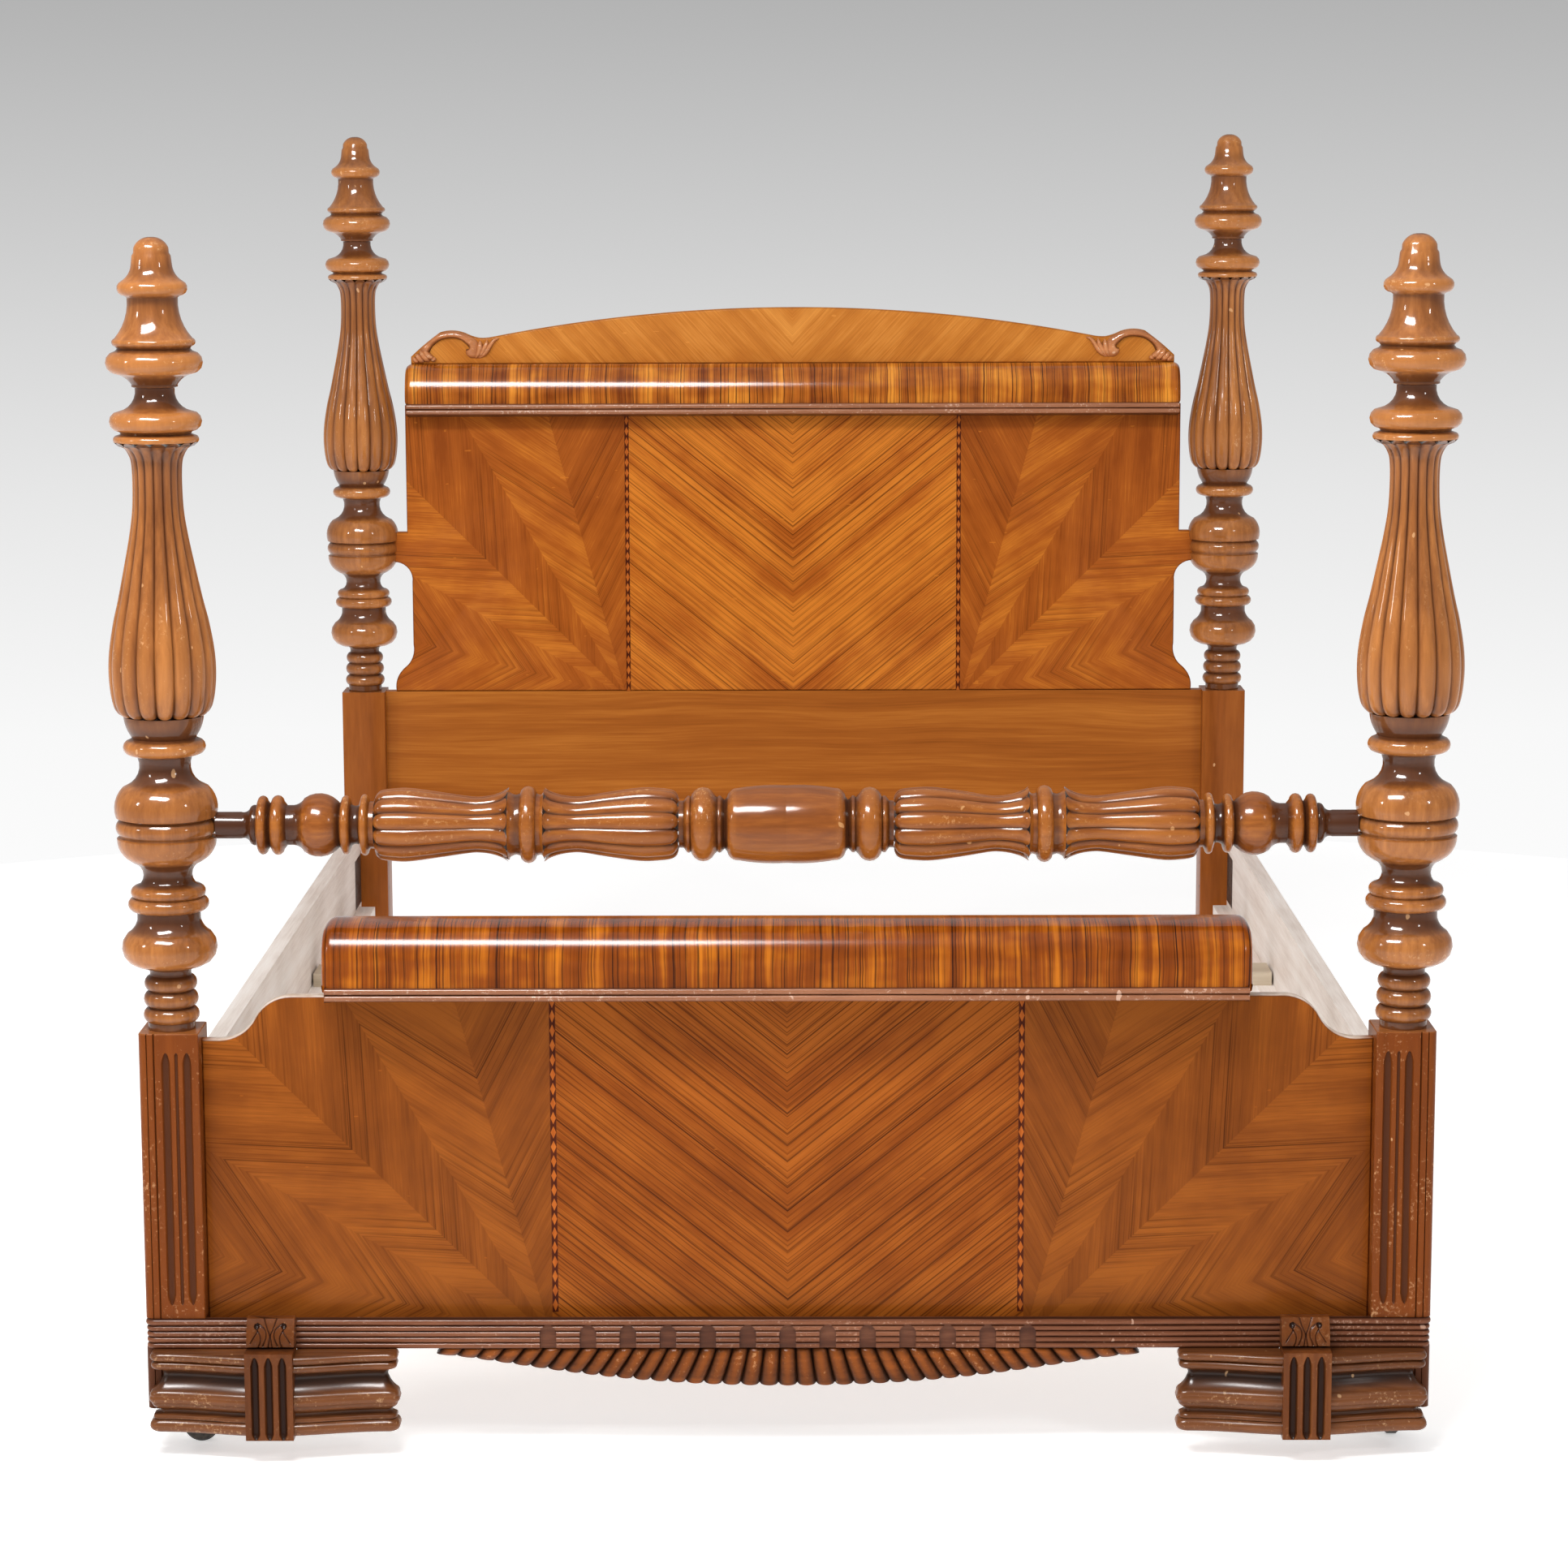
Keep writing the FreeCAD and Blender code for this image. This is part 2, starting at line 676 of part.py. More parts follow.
def headboard_crest():
    """Arched board on the headboard roll, with a rise at each end."""
    rows = scaled_rows(crest_shares, crest_half, crest_height, head_roll_top)
    neck = crest_half - 2 * tongue_depth
    tongue = [(neck, head_roll_top - groove_depth, 0), (neck, head_roll_top, 0)]
    whole = both_halves(tongue + rows, crest_crown_share)
    return prism(whole, across_bed(head_panel_front), Vector(0, panel_thick, 0))


def crest_scroll():
    """Carved C-scroll on the right end of the crest, with leaf ends that stand proud."""
    edge = crest_shares[1:] + scroll_leaf_shares + scroll_curl_shares + scroll_foot_shares
    rows = scaled_rows(edge, crest_half, crest_height, head_roll_top)
    front = head_panel_front - scroll_stand
    return prism(rows, across_bed(front), Vector(0, scroll_stand, 0))


def base_rail_rows(back):
    """Section of the base rail in (y, z): a bead over narrower reeds."""
    bead = base_bead_share * base_rail_height
    reed = (base_rail_height - bead) / base_reeds
    face = foot_front - base_rail_stand + bead / 2
    rows = [(back, base_rail_bottom, 0), (back, base_rail_top, 0), (face, base_rail_top, 0),
            (face, base_rail_top - bead, half_round_share)]
    for i in range(base_reeds):
        rows.append((face, base_rail_top - bead - (i + 1) * reed, half_round_share))
    return stepped(rows)


def base_rail():
    """Reeded rail across the foot, wrapped round both corners, with a row of arched niches."""
    turn_x = post_outer - base_rail_wrap
    turn_y = foot_front - base_rail_stand + base_rail_wrap
    rail = prism(base_rail_rows(foot_panel_front), along_bed(-turn_x), Vector(2 * turn_x, 0, 0))
    pivot = Vector(turn_x, turn_y, 0)
    section = Part.Face(outline(base_rail_rows(turn_y), along_bed(turn_x)))
    corner = section.revolve(pivot, up, quarter_turn)
    section.rotate(pivot, up, quarter_turn)
    side = section.extrude(Vector(0, foot_panel_front - turn_y, 0))
    rail = rail.fuse([corner, side, mirrored(corner), mirrored(side)])
    return rail.cut([niche(i) for i in range(niche_count)])


def niche(index):
    """Cutter for one arched niche of the base rail."""
    x = (index - (niche_count - 1) / 2) * niche_pitch
    half = niche_width / 2
    spring = base_rail_bottom + niche_height - half
    low = base_rail_bottom - overrun
    rows = [(x - half, low, 0), (x + half, low, 0), (x + half, spring, 0),
            (x - half, spring, half_round_share)]
    front = foot_front - base_rail_stand - overrun
    return prism(rows, across_bed(front), Vector(0, overrun + niche_depth, 0))


def gadroon_mark(index):
    """Place of a joint between lobes as a share of the apron's half length, closer at the ends."""
    t = 2 * index / gadroon_count - 1
    return t * (1 + gadroon_taper_share * (1 - t * t))


def gadroon_section(z, spread):
    """Level section of the gadroons: a row of arcs in front of a straight back."""
    valley = foot_panel_front - apron_thick
    marks = [spread * apron_half * gadroon_mark(i) for i in range(gadroon_count + 1)]
    place = level(z)
    edges = []
    for left, right in zip(marks, marks[1:]):
        crest = place((left + right) / 2, valley - gadroon_depth_share * (right - left))
        edges.append(Part.Arc(place(left, valley), crest, place(right, valley)).toShape())
    rows = [(marks[-1], valley), (marks[-1], foot_panel_front), (marks[0], foot_panel_front),
            (marks[0], valley)]
    for start, end in zip(rows, rows[1:]):
        edges.append(Part.makeLine(place(*start), place(*end)))
    return Part.Wire(edges)


def apron():
    """Swag of gadroons that fan out downwards, trimmed to a shallow bow."""
    low = base_rail_bottom - apron_drop
    lobes = Part.makeLoft([gadroon_section(base_rail_bottom, 1),
                           gadroon_section(low, gadroon_spread_share)], True, True)
    end = base_rail_bottom - apron_end_drop
    bow = (apron_drop - apron_end_drop) / (2 * apron_half)
    rows = [(-apron_half, end, 0), (apron_half, end, bow), (apron_half, base_rail_bottom, 0),
            (-apron_half, base_rail_bottom, 0)]
    front = foot_panel_front - 2 * apron_thick
    return lobes.common(prism(rows, across_bed(front), Vector(0, foot_panel_front - front, 0)))


def bracket_plan(z, relief):
    """Level section of the right bracket foot: serpentine front, rounded corners, straight back."""
    left = bracket_inner_x + relief
    right = post_outer - bracket_end_room - relief
    end_y = foot_front - bracket_end_stand + relief
    key_y = foot_front - bracket_key_stand + relief
    r = bracket_corner
    rows = [(left, foot_front, 0), (left, end_y + r, 0), (left + r, end_y, quarter_round_share)]
    for start, end, y0, y1, way in ((left + r, key_x, end_y, key_y, -1),
                                    (key_x, right - r, key_y, end_y, 1)):
        curve = math.tan(math.atan2(abs(y1 - y0), end - start) / 2) / 2
        rows.append(((start + end) / 2, (y0 + y1) / 2, way * curve))
        rows.append((end, y1, -way * curve))
    rows += [(right, end_y + r, quarter_round_share), (right, foot_front, 0)]
    return outline(rows, level(z))


def bracket_foot():
    """Right bracket foot: a stack of mouldings, slotted for its key."""
    height = base_rail_bottom - bracket_bottom
    plans = [bracket_plan(bracket_bottom + z * height, p * bracket_relief)
             for z, p in bracket_moulding_shares]
    half = key_width / 2 + fit_gap
    slot = block(key_x - half, key_x + half, foot_front - front_reach, foot_front - key_seat,
                 bracket_bottom - overrun, base_rail_bottom + overrun)
    return Part.makeLoft(plans, True, True).cut(slot)


def bracket_key():
    """Right key: a fluted block in the bracket's slot under a plaque on the base rail."""
    back = foot_front - key_seat
    rail_face = foot_front - base_rail_stand - fit_gap
    front = foot_front - bracket_key_stand - key_stand
    low = bracket_bottom - key_foot_drop
    block_top = base_rail_bottom + key_block_rise
    plaque = block_top + key_groove
    plaque_top = plaque + key_plaque_height
    stand = foot_front - key_plaque_stand
    rows = [
        (front, low, 0), (back, low, 0), (back, base_rail_bottom, 0),
        (rail_face, base_rail_bottom, 0), (rail_face, plaque_top, 0),
        (stand + key_plaque_slope, plaque_top, 0), (stand - key_plaque_slope, plaque, key_plaque_curve_share),
        (stand + key_groove, plaque, 0), (stand + key_groove, block_top, 0), (front, block_top, 0),
    ]
    key = prism(rows, along_bed(key_x - key_width / 2), Vector(key_width, 0, 0))
    deep = Vector(0, overrun + key_flute_depth, 0)
    cuts = []
    for i in (-1, 0, 1):
        rows = lancet(key_x + i * key_flute_pitch, key_flute_width,
                      low + key_flute_room / 2, block_top - key_flute_room / 2)
        cuts.append(prism(rows, across_bed(front - overrun), deep))
    return key.cut(cuts)


def blanket_rail():
    """Turned and reeded rail between the balls of the foot posts."""
    pieces = [turning(shares, blanket_radius, blanket_half)
              for shares in (blanket_middle_shares, blanket_ring_shares, blanket_end_shares)]
    pieces += [reeded_vase(shares, blanket_radius, blanket_half, blanket_reeds)
               for shares in (blanket_inner_vase_shares, blanket_outer_vase_shares)]
    pieces.append(rod(blanket_tenon_radius, Vector(0, 0, blanket_half),
                      Vector(0, 0, blanket_tenon_length)))
    half = pieces[0].fuse(pieces[1:])
    half.rotate(origin, Vector(0, 1, 0), quarter_turn)
    rail = half.fuse(mirrored(half))
    rail.translate(Vector(0, foot_y, blanket_z))
    return rail


def wood_screw(place, length):
    """Countersunk screw whose head lies flush at place, driven towards +X."""
    way = Vector(1, 0, 0)
    head = Part.makeCone(screw_head_radius, screw_radius, screw_head_depth, place, way)
    return head.fuse(rod(screw_radius, place, way * length))


def ledger_screw_places():
    """Heads of the right ledger's screws."""
    run = ledger_span()[1] - ledger_span()[0]
    step = run / ledger_screws
    z = ledger_top - ledger_height / 2
    x = rail_inner - ledger_width
    return [Vector(x, ledger_span()[0] + (i + 0.5) * step, z) for i in range(ledger_screws)]


def ledger_span():
    """Front and back ends of a ledger."""
    return foot_inside + ledger_end_room, head_inside - ledger_end_room


def ledger():
    """Right ledger strip with its screw holes."""
    start, end = ledger_span()
    strip = block(rail_inner - ledger_width, rail_inner, start, end, ledger_top - ledger_height, ledger_top)
    return strip.cut([wood_screw(p, ledger_screw_length) for p in ledger_screw_places()])


def hook_ends():
    """Inside faces of the foot and head posts, each with the way into the post."""
    return (foot_inside, -1), (head_inside, 1)


def hook_plate(inside, way):
    """Right rail's hook plate at one end: a leaf on the rail and two hooks over the pins."""
    leaf_ends = sorted([inside, inside - way * hook_length])
    plate = block(rail_inner, rail_inner + hook_thick, leaf_ends[0], leaf_ends[1],
                  hook_bottom, hook_bottom + hook_height)
    fingers = []
    notches = []
    for pin in hook_pin_places(inside, way):
        low = pin.z - hook_finger / 2
        ends = sorted([inside, inside + way * hook_reach])
        fingers.append(block(rail_inner, rail_inner + hook_thick, ends[0], ends[1],
                             low, low + hook_finger))
        half = hook_pin_radius + fit_gap
        notches.append(block(rail_inner - overrun, rail_inner + hook_thick + overrun,
                             pin.y - half, pin.y + half, low - overrun, pin.z + half))
    screws = [wood_screw(p, hook_screw_length) for p in hook_screw_places(inside, way)]
    return plate.fuse(fingers).cut(notches + screws)


def hook_screw_places(inside, way):
    """Heads of one hook plate's screws, in a slanting row."""
    places = []
    for i in range(hook_screws):
        share = (i + 1) / (hook_screws + 1)
        places.append(Vector(rail_inner, inside - way * share * hook_length,
                             hook_bottom + share * hook_height))
    return places


def side_rail():
    """Right side rail with its recesses for the hook plates and its screw holes."""
    rail = block(rail_inner, rail_inner + rail_thick, foot_inside, head_inside, rail_bottom, rail_top)
    cuts = [wood_screw(p, ledger_screw_length) for p in ledger_screw_places()]
    for inside, way in hook_ends():
        ends = sorted([inside + way * overrun, inside - way * hook_length])
        cuts.append(block(rail_inner - overrun, rail_inner + hook_thick, ends[0], ends[1],
                          hook_bottom, hook_bottom + hook_height))
        cuts += [wood_screw(p, hook_screw_length) for p in hook_screw_places(inside, way)]
    return rail.cut(cuts)


def hook_pins():
    """Steel pins across the slots of a right-hand post pair."""
    run = Vector(hook_pin_length, 0, 0)
    return [rod(hook_pin_radius, place, run) for end in hook_ends() for place in hook_pin_places(*end)]


def slat(index):
    """Loose slat across the ledgers."""
    y = (foot_y + head_y) / 2 + (index - (slat_count - 1) / 2) * slat_pitch
    half = rail_inner - slat_end_room
    return block(-half, half, y - slat_width / 2, y + slat_width / 2, ledger_top, ledger_top + slat_thick)


def caster_socket(place):
    """Plate and tube in a post's bottom, where a caster's stem turns."""
    plate = rod(socket_plate_radius, place, Vector(0, 0, -socket_plate_thick))
    tube = rod(socket_tube_radius, place, Vector(0, 0, socket_depth))
    bore_start = place - Vector(0, 0, socket_plate_thick + overrun)
    bore = rod(stem_radius + running_gap, bore_start,
               Vector(0, 0, socket_plate_thick + 2 * overrun + socket_depth))
    return plate.fuse(tube).cut(bore)


def caster_horn():
    """Stem, crown and two cheeks of a caster, trailing towards +X from its stem at the origin."""
    crown_top = -socket_plate_thick - swivel_gap
    axle_z = wheel_radius - post_bottom
    inner = wheel_width / 2 + cheek_room
    outer = inner + cheek_thick
    stem = rod(stem_radius, Vector(0, 0, crown_top), Vector(0, 0, stem_length - crown_top))
    crown = rod(crown_radius, Vector(0, 0, crown_top), Vector(0, 0, -crown_thick))
    arm = block(0, caster_trail + cheek_radius, -outer, outer, crown_top - crown_thick, crown_top)
    cheeks = []
    for y in (-outer, inner):
        rows = [(0, crown_top - crown_thick, 0), (caster_trail - cheek_radius, axle_z, 0),
                (caster_trail + cheek_radius, axle_z, half_round_share),
                (caster_trail + cheek_radius, crown_top - crown_thick, 0)]
        cheeks.append(prism(rows, across_bed(y), Vector(0, cheek_thick, 0)))
    hole = rod(axle_radius, Vector(caster_trail, -outer - overrun, axle_z),
               Vector(0, 2 * (outer + overrun), 0))
    return stem.fuse([crown, arm] + cheeks).cut(hole)


def caster_axle():
    """Riveted axle between a caster's cheeks."""
    outer = wheel_width / 2 + cheek_room + cheek_thick
    axle_z = wheel_radius - post_bottom
    pin = rod(axle_radius, Vector(caster_trail, -outer, axle_z), Vector(0, 2 * outer, 0))
    heads = [rod(axle_head_radius, Vector(caster_trail, s * outer, axle_z), Vector(0, s * axle_head_thick, 0))
             for s in (-1, 1)]
    return pin.fuse(heads)


def caster_wheel():
    """Wheel with bevelled edges, running on the axle."""
    half = wheel_width / 2
    axle_z = wheel_radius - post_bottom
    bore = axle_radius + running_gap
    rows = [(bore, -half, 0), (wheel_radius - wheel_edge, -half, 0),
            (wheel_radius, wheel_edge - half, 0), (wheel_radius, half - wheel_edge, 0),
            (wheel_radius - wheel_edge, half, 0), (bore, half, 0)]
    wheel = Part.Face(outline(rows, level(0))).revolve(origin, Vector(0, 1, 0), full_turn)
    wheel.translate(Vector(caster_trail, 0, axle_z))
    return wheel


# Casters: place of the stem's axis, and the way that each one trails, in degrees from +X
casters = {
    "front_left": (caster_place(-post_x, foot_y + caster_setback), 0),
    "front_right": (caster_place(post_x, foot_y + caster_setback), quarter_turn),
    "rear_left": (caster_place(-post_x, head_y), quarter_turn),
    "rear_right": (caster_place(post_x, head_y), quarter_turn),
}


def set_caster(shape, place, turn):
    """Caster piece turned and moved to its post."""
    shape.rotate(origin, up, turn)
    shape.translate(place)
    return shape


def save(name, shape):
    """Write one node."""
    shape.exportStep("parts/" + name + ".step")


def save_pair(name, right):
    """Write a right-hand piece and its mirrored left-hand twin."""
    save(name + "_right", right)
    save(name + "_left", mirrored(right))


def save_group(name, solids):
    """Write several separate solids as one node."""
    save(name, Part.makeCompound(solids))


def save_mirrored_group(name, solids):
    """Write right-hand solids and their left-hand twins as one node."""
    save_group(name, solids + [mirrored(s) for s in solids])


os.makedirs("parts", exist_ok=True)

save_pair("foot_post", foot_post())
save_pair("head_post", head_post())

save("footboard_panel", footboard_panel())
save("footboard_roll", footboard_roll())
save("footboard_bead", double_bead(foot_panel_front, foot_roll_bottom, foot_bead_height, foot_bead_half))
save_group("footboard_inlay", foot_inlays())

save("headboard_panel", headboard_panel())
save("headboard_roll", headboard_roll())
save("headboard_bead", double_bead(head_panel_front, head_roll_bottom, head_bead_height, head_bead_half))
save_group("headboard_inlay", head_inlays())
save("headboard_crest", headboard_crest())
save_pair("crest_scroll", crest_scroll())
save("head_rail", head_rail())

save("base_rail", base_rail())
save("apron", apron())
save_pair("bracket_foot", bracket_foot())
save_pair("bracket_key", bracket_key())
save("blanket_rail", blanket_rail())

save_pair("side_rail", side_rail())
save_pair("ledger", ledger())
for number in range(slat_count):
    save("slat_" + str(number + 1), slat(number))
save_mirrored_group("rail_hooks", [hook_plate(*end) for end in hook_ends()])
save_mirrored_group("hook_pins", hook_pins())
save_mirrored_group("hook_screws", [wood_screw(p, hook_screw_length) for end in hook_ends()
                                    for p in hook_screw_places(*end)])
save_mirrored_group("ledger_screws", [wood_screw(p, ledger_screw_length) for p in ledger_screw_places()])

save_group("caster_sockets", [caster_socket(place) for place, turn in casters.values()])
for corner, (place, turn) in casters.items():
    save("caster_horn_" + corner, set_caster(caster_horn(), place, turn))
    save("caster_axle_" + corner, set_caster(caster_axle(), place, turn))
    save("caster_wheel_" + corner, set_caster(caster_wheel(), place, turn))
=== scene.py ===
"""Four-poster bed: finish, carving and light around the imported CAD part.

Metres, in the part's own frame: +Z is up, the head of the bed is towards +Y, the floor is z = 0.
Right-hand pieces are built and then mirrored for the left.
"""
import json
import math

import bpy
import numpy as np
from mathutils import Matrix, Vector


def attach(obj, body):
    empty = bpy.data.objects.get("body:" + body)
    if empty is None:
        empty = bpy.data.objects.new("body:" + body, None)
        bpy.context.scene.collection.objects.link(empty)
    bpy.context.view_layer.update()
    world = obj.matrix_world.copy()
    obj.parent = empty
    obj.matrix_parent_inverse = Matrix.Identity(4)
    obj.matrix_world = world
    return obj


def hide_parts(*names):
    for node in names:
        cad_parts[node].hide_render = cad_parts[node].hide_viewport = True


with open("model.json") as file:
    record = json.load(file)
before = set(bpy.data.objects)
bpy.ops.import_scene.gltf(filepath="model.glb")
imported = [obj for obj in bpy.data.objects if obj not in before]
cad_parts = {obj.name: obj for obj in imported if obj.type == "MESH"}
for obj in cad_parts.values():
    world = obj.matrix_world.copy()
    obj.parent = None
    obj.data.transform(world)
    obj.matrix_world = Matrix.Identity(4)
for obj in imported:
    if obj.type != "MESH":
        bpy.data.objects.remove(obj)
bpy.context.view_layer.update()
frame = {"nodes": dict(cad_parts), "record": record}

# Posts: a square below, one long turning above
post_x = 0.6825
post_half = 0.0335
post_bottom = 0.050
foot_y = -0.97845
head_y = 1.00155
foot_square_top = 0.478
head_square_top = 0.593
turned_length = 0.870
tip_radius = 0.0002
turned_radius = 0.0584
post_reeds = 16
reed_segments = 8
reed_depth = 0.085
reed_fade = 0.12
scallop = 0.004
corner_round = 0.009
corner_bead = 0.006
quirk_width = 0.0024
quirk_depth = 0.002
flute_width = 0.0100
flute_depth = 0.004
flute_pitch = 0.0235
middle_quirk = 0.0042
flute_low = 0.169
flute_high = 0.457
flute_point = 0.012
closed_flute = 0.001
edge_ease = 0.001
head_ease = 0.0015
post_cap = 0.97

# Boards
panel_thick = 0.018
foot_panel_front = foot_y - panel_thick / 2
head_panel_front = head_y - panel_thick / 2
board_edge = 0.0025
shoulder_low = 0.466
shoulder_high = 0.515
shoulder_start = 0.62954
shoulder_end = 0.54892
bare_inset = 0.002
foot_roll_half = 0.510
foot_roll_bottom = 0.523
foot_roll_depth = 0.110
foot_roll_height = 0.080
foot_roll_end = 0.012
foot_bead_half = 0.506
foot_bead_height = 0.014
foot_bead_low = 0.5185
foot_bead_top = 0.5335
foot_inlay_x = 0.260
head_rail_top = 0.591
head_panel_half = 0.611
head_waist_half = 0.604
head_flare_half = 0.632
head_flare_height = 0.075
ear_z = 0.82094
ear_height = 0.048
ear_curve = 0.032
ear_end = 0.62731
ear_seat = 0.010
head_roll_half = 0.608
head_roll_bottom = 1.045
head_roll_top = 1.110
head_roll_stand = 0.038
head_roll_back = 0.006
head_roll_end = 0.010
head_bead_half = 0.605
head_bead_height = 0.018
head_bead_low = 1.0325
head_bead_top = 1.0495
head_inlay_x = 0.262
crest_half = 0.600
crest_height = 0.087
inlay_half = 0.0035
inlay_depth = 0.0012
diamond_pitch = 0.0165
bead_tongue = 0.0015

# Base rail, apron, bracket feet and keys
base_low = 0.120
base_top = 0.154
base_stand = 0.006
base_face = foot_y - post_half - base_stand
base_wrap = 0.011
base_bead = 0.00748
base_reeds = 4
niche_count = 13
niche_width = 0.0185
niche_pitch = 0.0445
niche_depth = 0.0055
niche_height = 0.027
niche_shade = -0.25
apron_half = 0.393
apron_drop = 0.0465
apron_end_drop = 0.0105
apron_thick = 0.020
apron_rows = 22
apron_lip = 0.22
apron_tuck = 0.007
apron_set_back = 0.002
apron_bow = 1.4
gadroon_count = 39
gadroon_steps = 10
gadroon_depth = 0.0078
gadroon_taper = -0.12
gadroon_lean = 0.75
gadroon_lean_reach = 0.16
bracket_low = 0.030
bracket_left = 0.432
bracket_right = 0.711
bracket_end_stand = 0.025
bracket_key_stand = 0.042
bracket_corner = 0.009
bracket_relief = 0.014
key_x = 0.5735
key_half = 0.0265
key_low = 0.028
key_block_top = 0.127
key_plaque_low = 0.1295
key_plaque_top = 0.1595
key_stand = 0.048
key_back_stand = 0.0065
key_gap_edge = 0.0004
key_gap_depth = 0.0025
key_columns = 107
key_block_rows = 150
key_plaque_rows = 62
key_plaque_stand = 0.024
key_plaque_slope = 0.005
key_plaque_bow = 0.0025
key_flute_pitch = 0.0152
key_flute_half = 0.0046
key_flute_depth = 0.005
key_flute_room = 0.004
key_flute_top = 0.010
key_flute_foot = 0.007
stroke_half = 0.0011
stroke_depth = 0.0012
eye_x = 0.0150
eye_z = 0.007
eye_radius = 0.0031
eye_depth = 0.0035

# Blanket rail
blanket_z = 0.70594
blanket_radius = 0.0429
blanket_half = 0.6273
blanket_reeds = 12

# Finishes: coat of the posts' squares, half height of the change of stain above them
square_coat = 0.08
stain_edge = 0.002

# Veneer: leaves of a fan in degrees, the place of a fan out of sight, how far below the headboard its fans
# start, pitch and half width of the grain lines
leaf_angle = 15
leaf_lean = 27
sheen_angle = 77
no_fan = 2.0
fan_drop = 0.010
thin_pitch = 0.0052
thin_half = 0.0007
bold_pitch = 0.013
bold_half = 0.0012
stripe_half = 0.0008
bold_stripe = 1.9
stripe_sway = 0.3

# Studio: the camera was worked out from the photograph, focal length in its pixels, angles in degrees
floor_radius = 3.2
floor_segments = 96
floor_glow = 0.45
photo_width = 1932
focal_pixels = 4919.4
sensor_width = 36
camera_place = 0.02564, -5.31057, 1.43259
camera_angles = 0.3717, 8.948, -0.1756
sky_stops = [
    (0.0, 1.0), (0.395, 1.0), (0.43, 0.94), (0.459, 0.80), (0.489, 0.617), (0.519, 0.451), (0.60, 0.40),
    (1.0, 0.55),
]

# Angles in degrees above which an edge is drawn sharp; how far a cutter overruns; what counts as touching
sharp = 32
board_sharp = 50
key_sharp = 45
apron_sharp = 60
overrun = 0.01
touch = 0.0001
millimetre = 0.001

# Turnings: radius share, length share and bulge of the edge that arrives there
lower_turning = [
    (0.445, 0.0, 0), (0.445, 0.0092, 0), (0.421, 0.0287, 0.33), (0.421, 0.05, 0.3),
    (0.394, 0.0701, 0.3), (0.411, 0.0782, -0.1), (0.479, 0.0816, 0), (0.788, 0.1241, 0.36),
    (0.762, 0.1253, 0), (0.596, 0.1425, -0.1), (0.596, 0.1517, 0), (0.634, 0.1529, 0),
    (0.658, 0.1707, 0.43), (0.582, 0.1856, 0.35), (0.514, 0.1885, 0), (0.651, 0.2161, -0.27),
    (0.702, 0.2184, 0), (0.933, 0.2471, 0.14), (0.882, 0.2494, 0), (0.890, 0.2517, 0),
    (0.897, 0.2695, 0.22), (0.873, 0.2718, 0), (0.945, 0.2741, 0), (0.805, 0.3115, 0.14),
    (0.736, 0.3138, 0), (0.514, 0.3506, -0.21), (0.659, 0.3534, 0), (0.651, 0.3724, 0.42),
    (0.599, 0.3747, 0), (0.639, 0.3793, 0), (0.750, 0.4023, 0.06), (0.0, 0.4023, 0),
]
# Darkening of turnings, added to their painted shade: share of the length, change of the shade there
lower_darkening = [
    (0.0, -0.45), (0.09, -0.3), (0.17, -0.35), (0.26, -0.1), (0.33, -0.3), (0.365, -0.15), (0.385, -0.6),
]
blanket_darkening = (0.90, -0.2), (0.93, -0.75)
vase_rows = [
    (0.70, 0.4018), (0.80, 0.4040), (0.87, 0.4085), (0.925, 0.4160), (0.976, 0.4333),
    (1.0, 0.4586), (0.976, 0.4862), (0.890, 0.5207), (0.788, 0.5494), (0.659, 0.5908),
    (0.548, 0.6287), (0.479, 0.6609), (0.459, 0.6954), (0.473, 0.7200), (0.52, 0.7310),
    (0.60, 0.7395), (0.69, 0.7445), (0.783, 0.7471),
]
finial_turning = [
    (0.0, 0.7471, 0), (0.783, 0.7471, 0), (0.753, 0.7546, 0.2), (0.651, 0.7569, 0),
    (0.676, 0.7598, 0), (0.676, 0.7851, 0.48), (0.368, 0.8138, -0.2), (0.428, 0.8155, 0),
    (0.428, 0.8184, 0), (0.702, 0.831, -0.1), (0.711, 0.8598, 0.45), (0.676, 0.8626, 0),
    (0.711, 0.8655, 0), (0.719, 0.8753, 0.4), (0.471, 0.9253, -0.1), (0.514, 0.9276, 0),
    (0.562, 0.946, 0.4), (0.380, 0.9655, -0.12), (0.360, 0.977, 0), (0.329, 0.9805, 0),
    (0.322, 0.9868, 0), (0.06, 1.0, 0.14), (0.0, 1.0, 0),
]
blanket_middle = [
    (1.0, 0.0, 0), (0.93, 0.0845, 0.03), (0.699, 0.1039, 0.2), (0.629, 0.1084, 0),
    (0.699, 0.1132, 0), (0.699, 0.1212, 0.3), (0.769, 0.1259, 0), (0.769, 0.1658, 0.32),
    (0.699, 0.1674, 0), (0.699, 0.1754, 0.3), (0.606, 0.1801, 0), (0.606, 0.188, 0), (0.0, 0.188, 0),
]
blanket_inner_vase = [
    (0.66, 0.1885), (0.80, 0.192), (0.89, 0.201), (0.935, 0.222), (0.946, 0.2563),
    (0.839, 0.3109), (0.735, 0.3535), (0.723, 0.3735), (0.769, 0.3953), (0.86, 0.414), (0.956, 0.4244),
]
blanket_ring = [
    (0.0, 0.4244, 0), (0.886, 0.4244, 0), (0.769, 0.4304, -0.1), (0.8, 0.4376, 0),
    (0.8, 0.4663, 0.46), (0.769, 0.4735, 0), (0.886, 0.487, -0.1), (0.0, 0.487, 0),
]
blanket_outer_vase = [
    (0.956, 0.487), (0.86, 0.4975), (0.769, 0.5149), (0.723, 0.5365), (0.735, 0.5565),
    (0.839, 0.6058), (0.946, 0.6600), (0.935, 0.6900), (0.89, 0.7095), (0.80, 0.7180), (0.66, 0.7215),
]
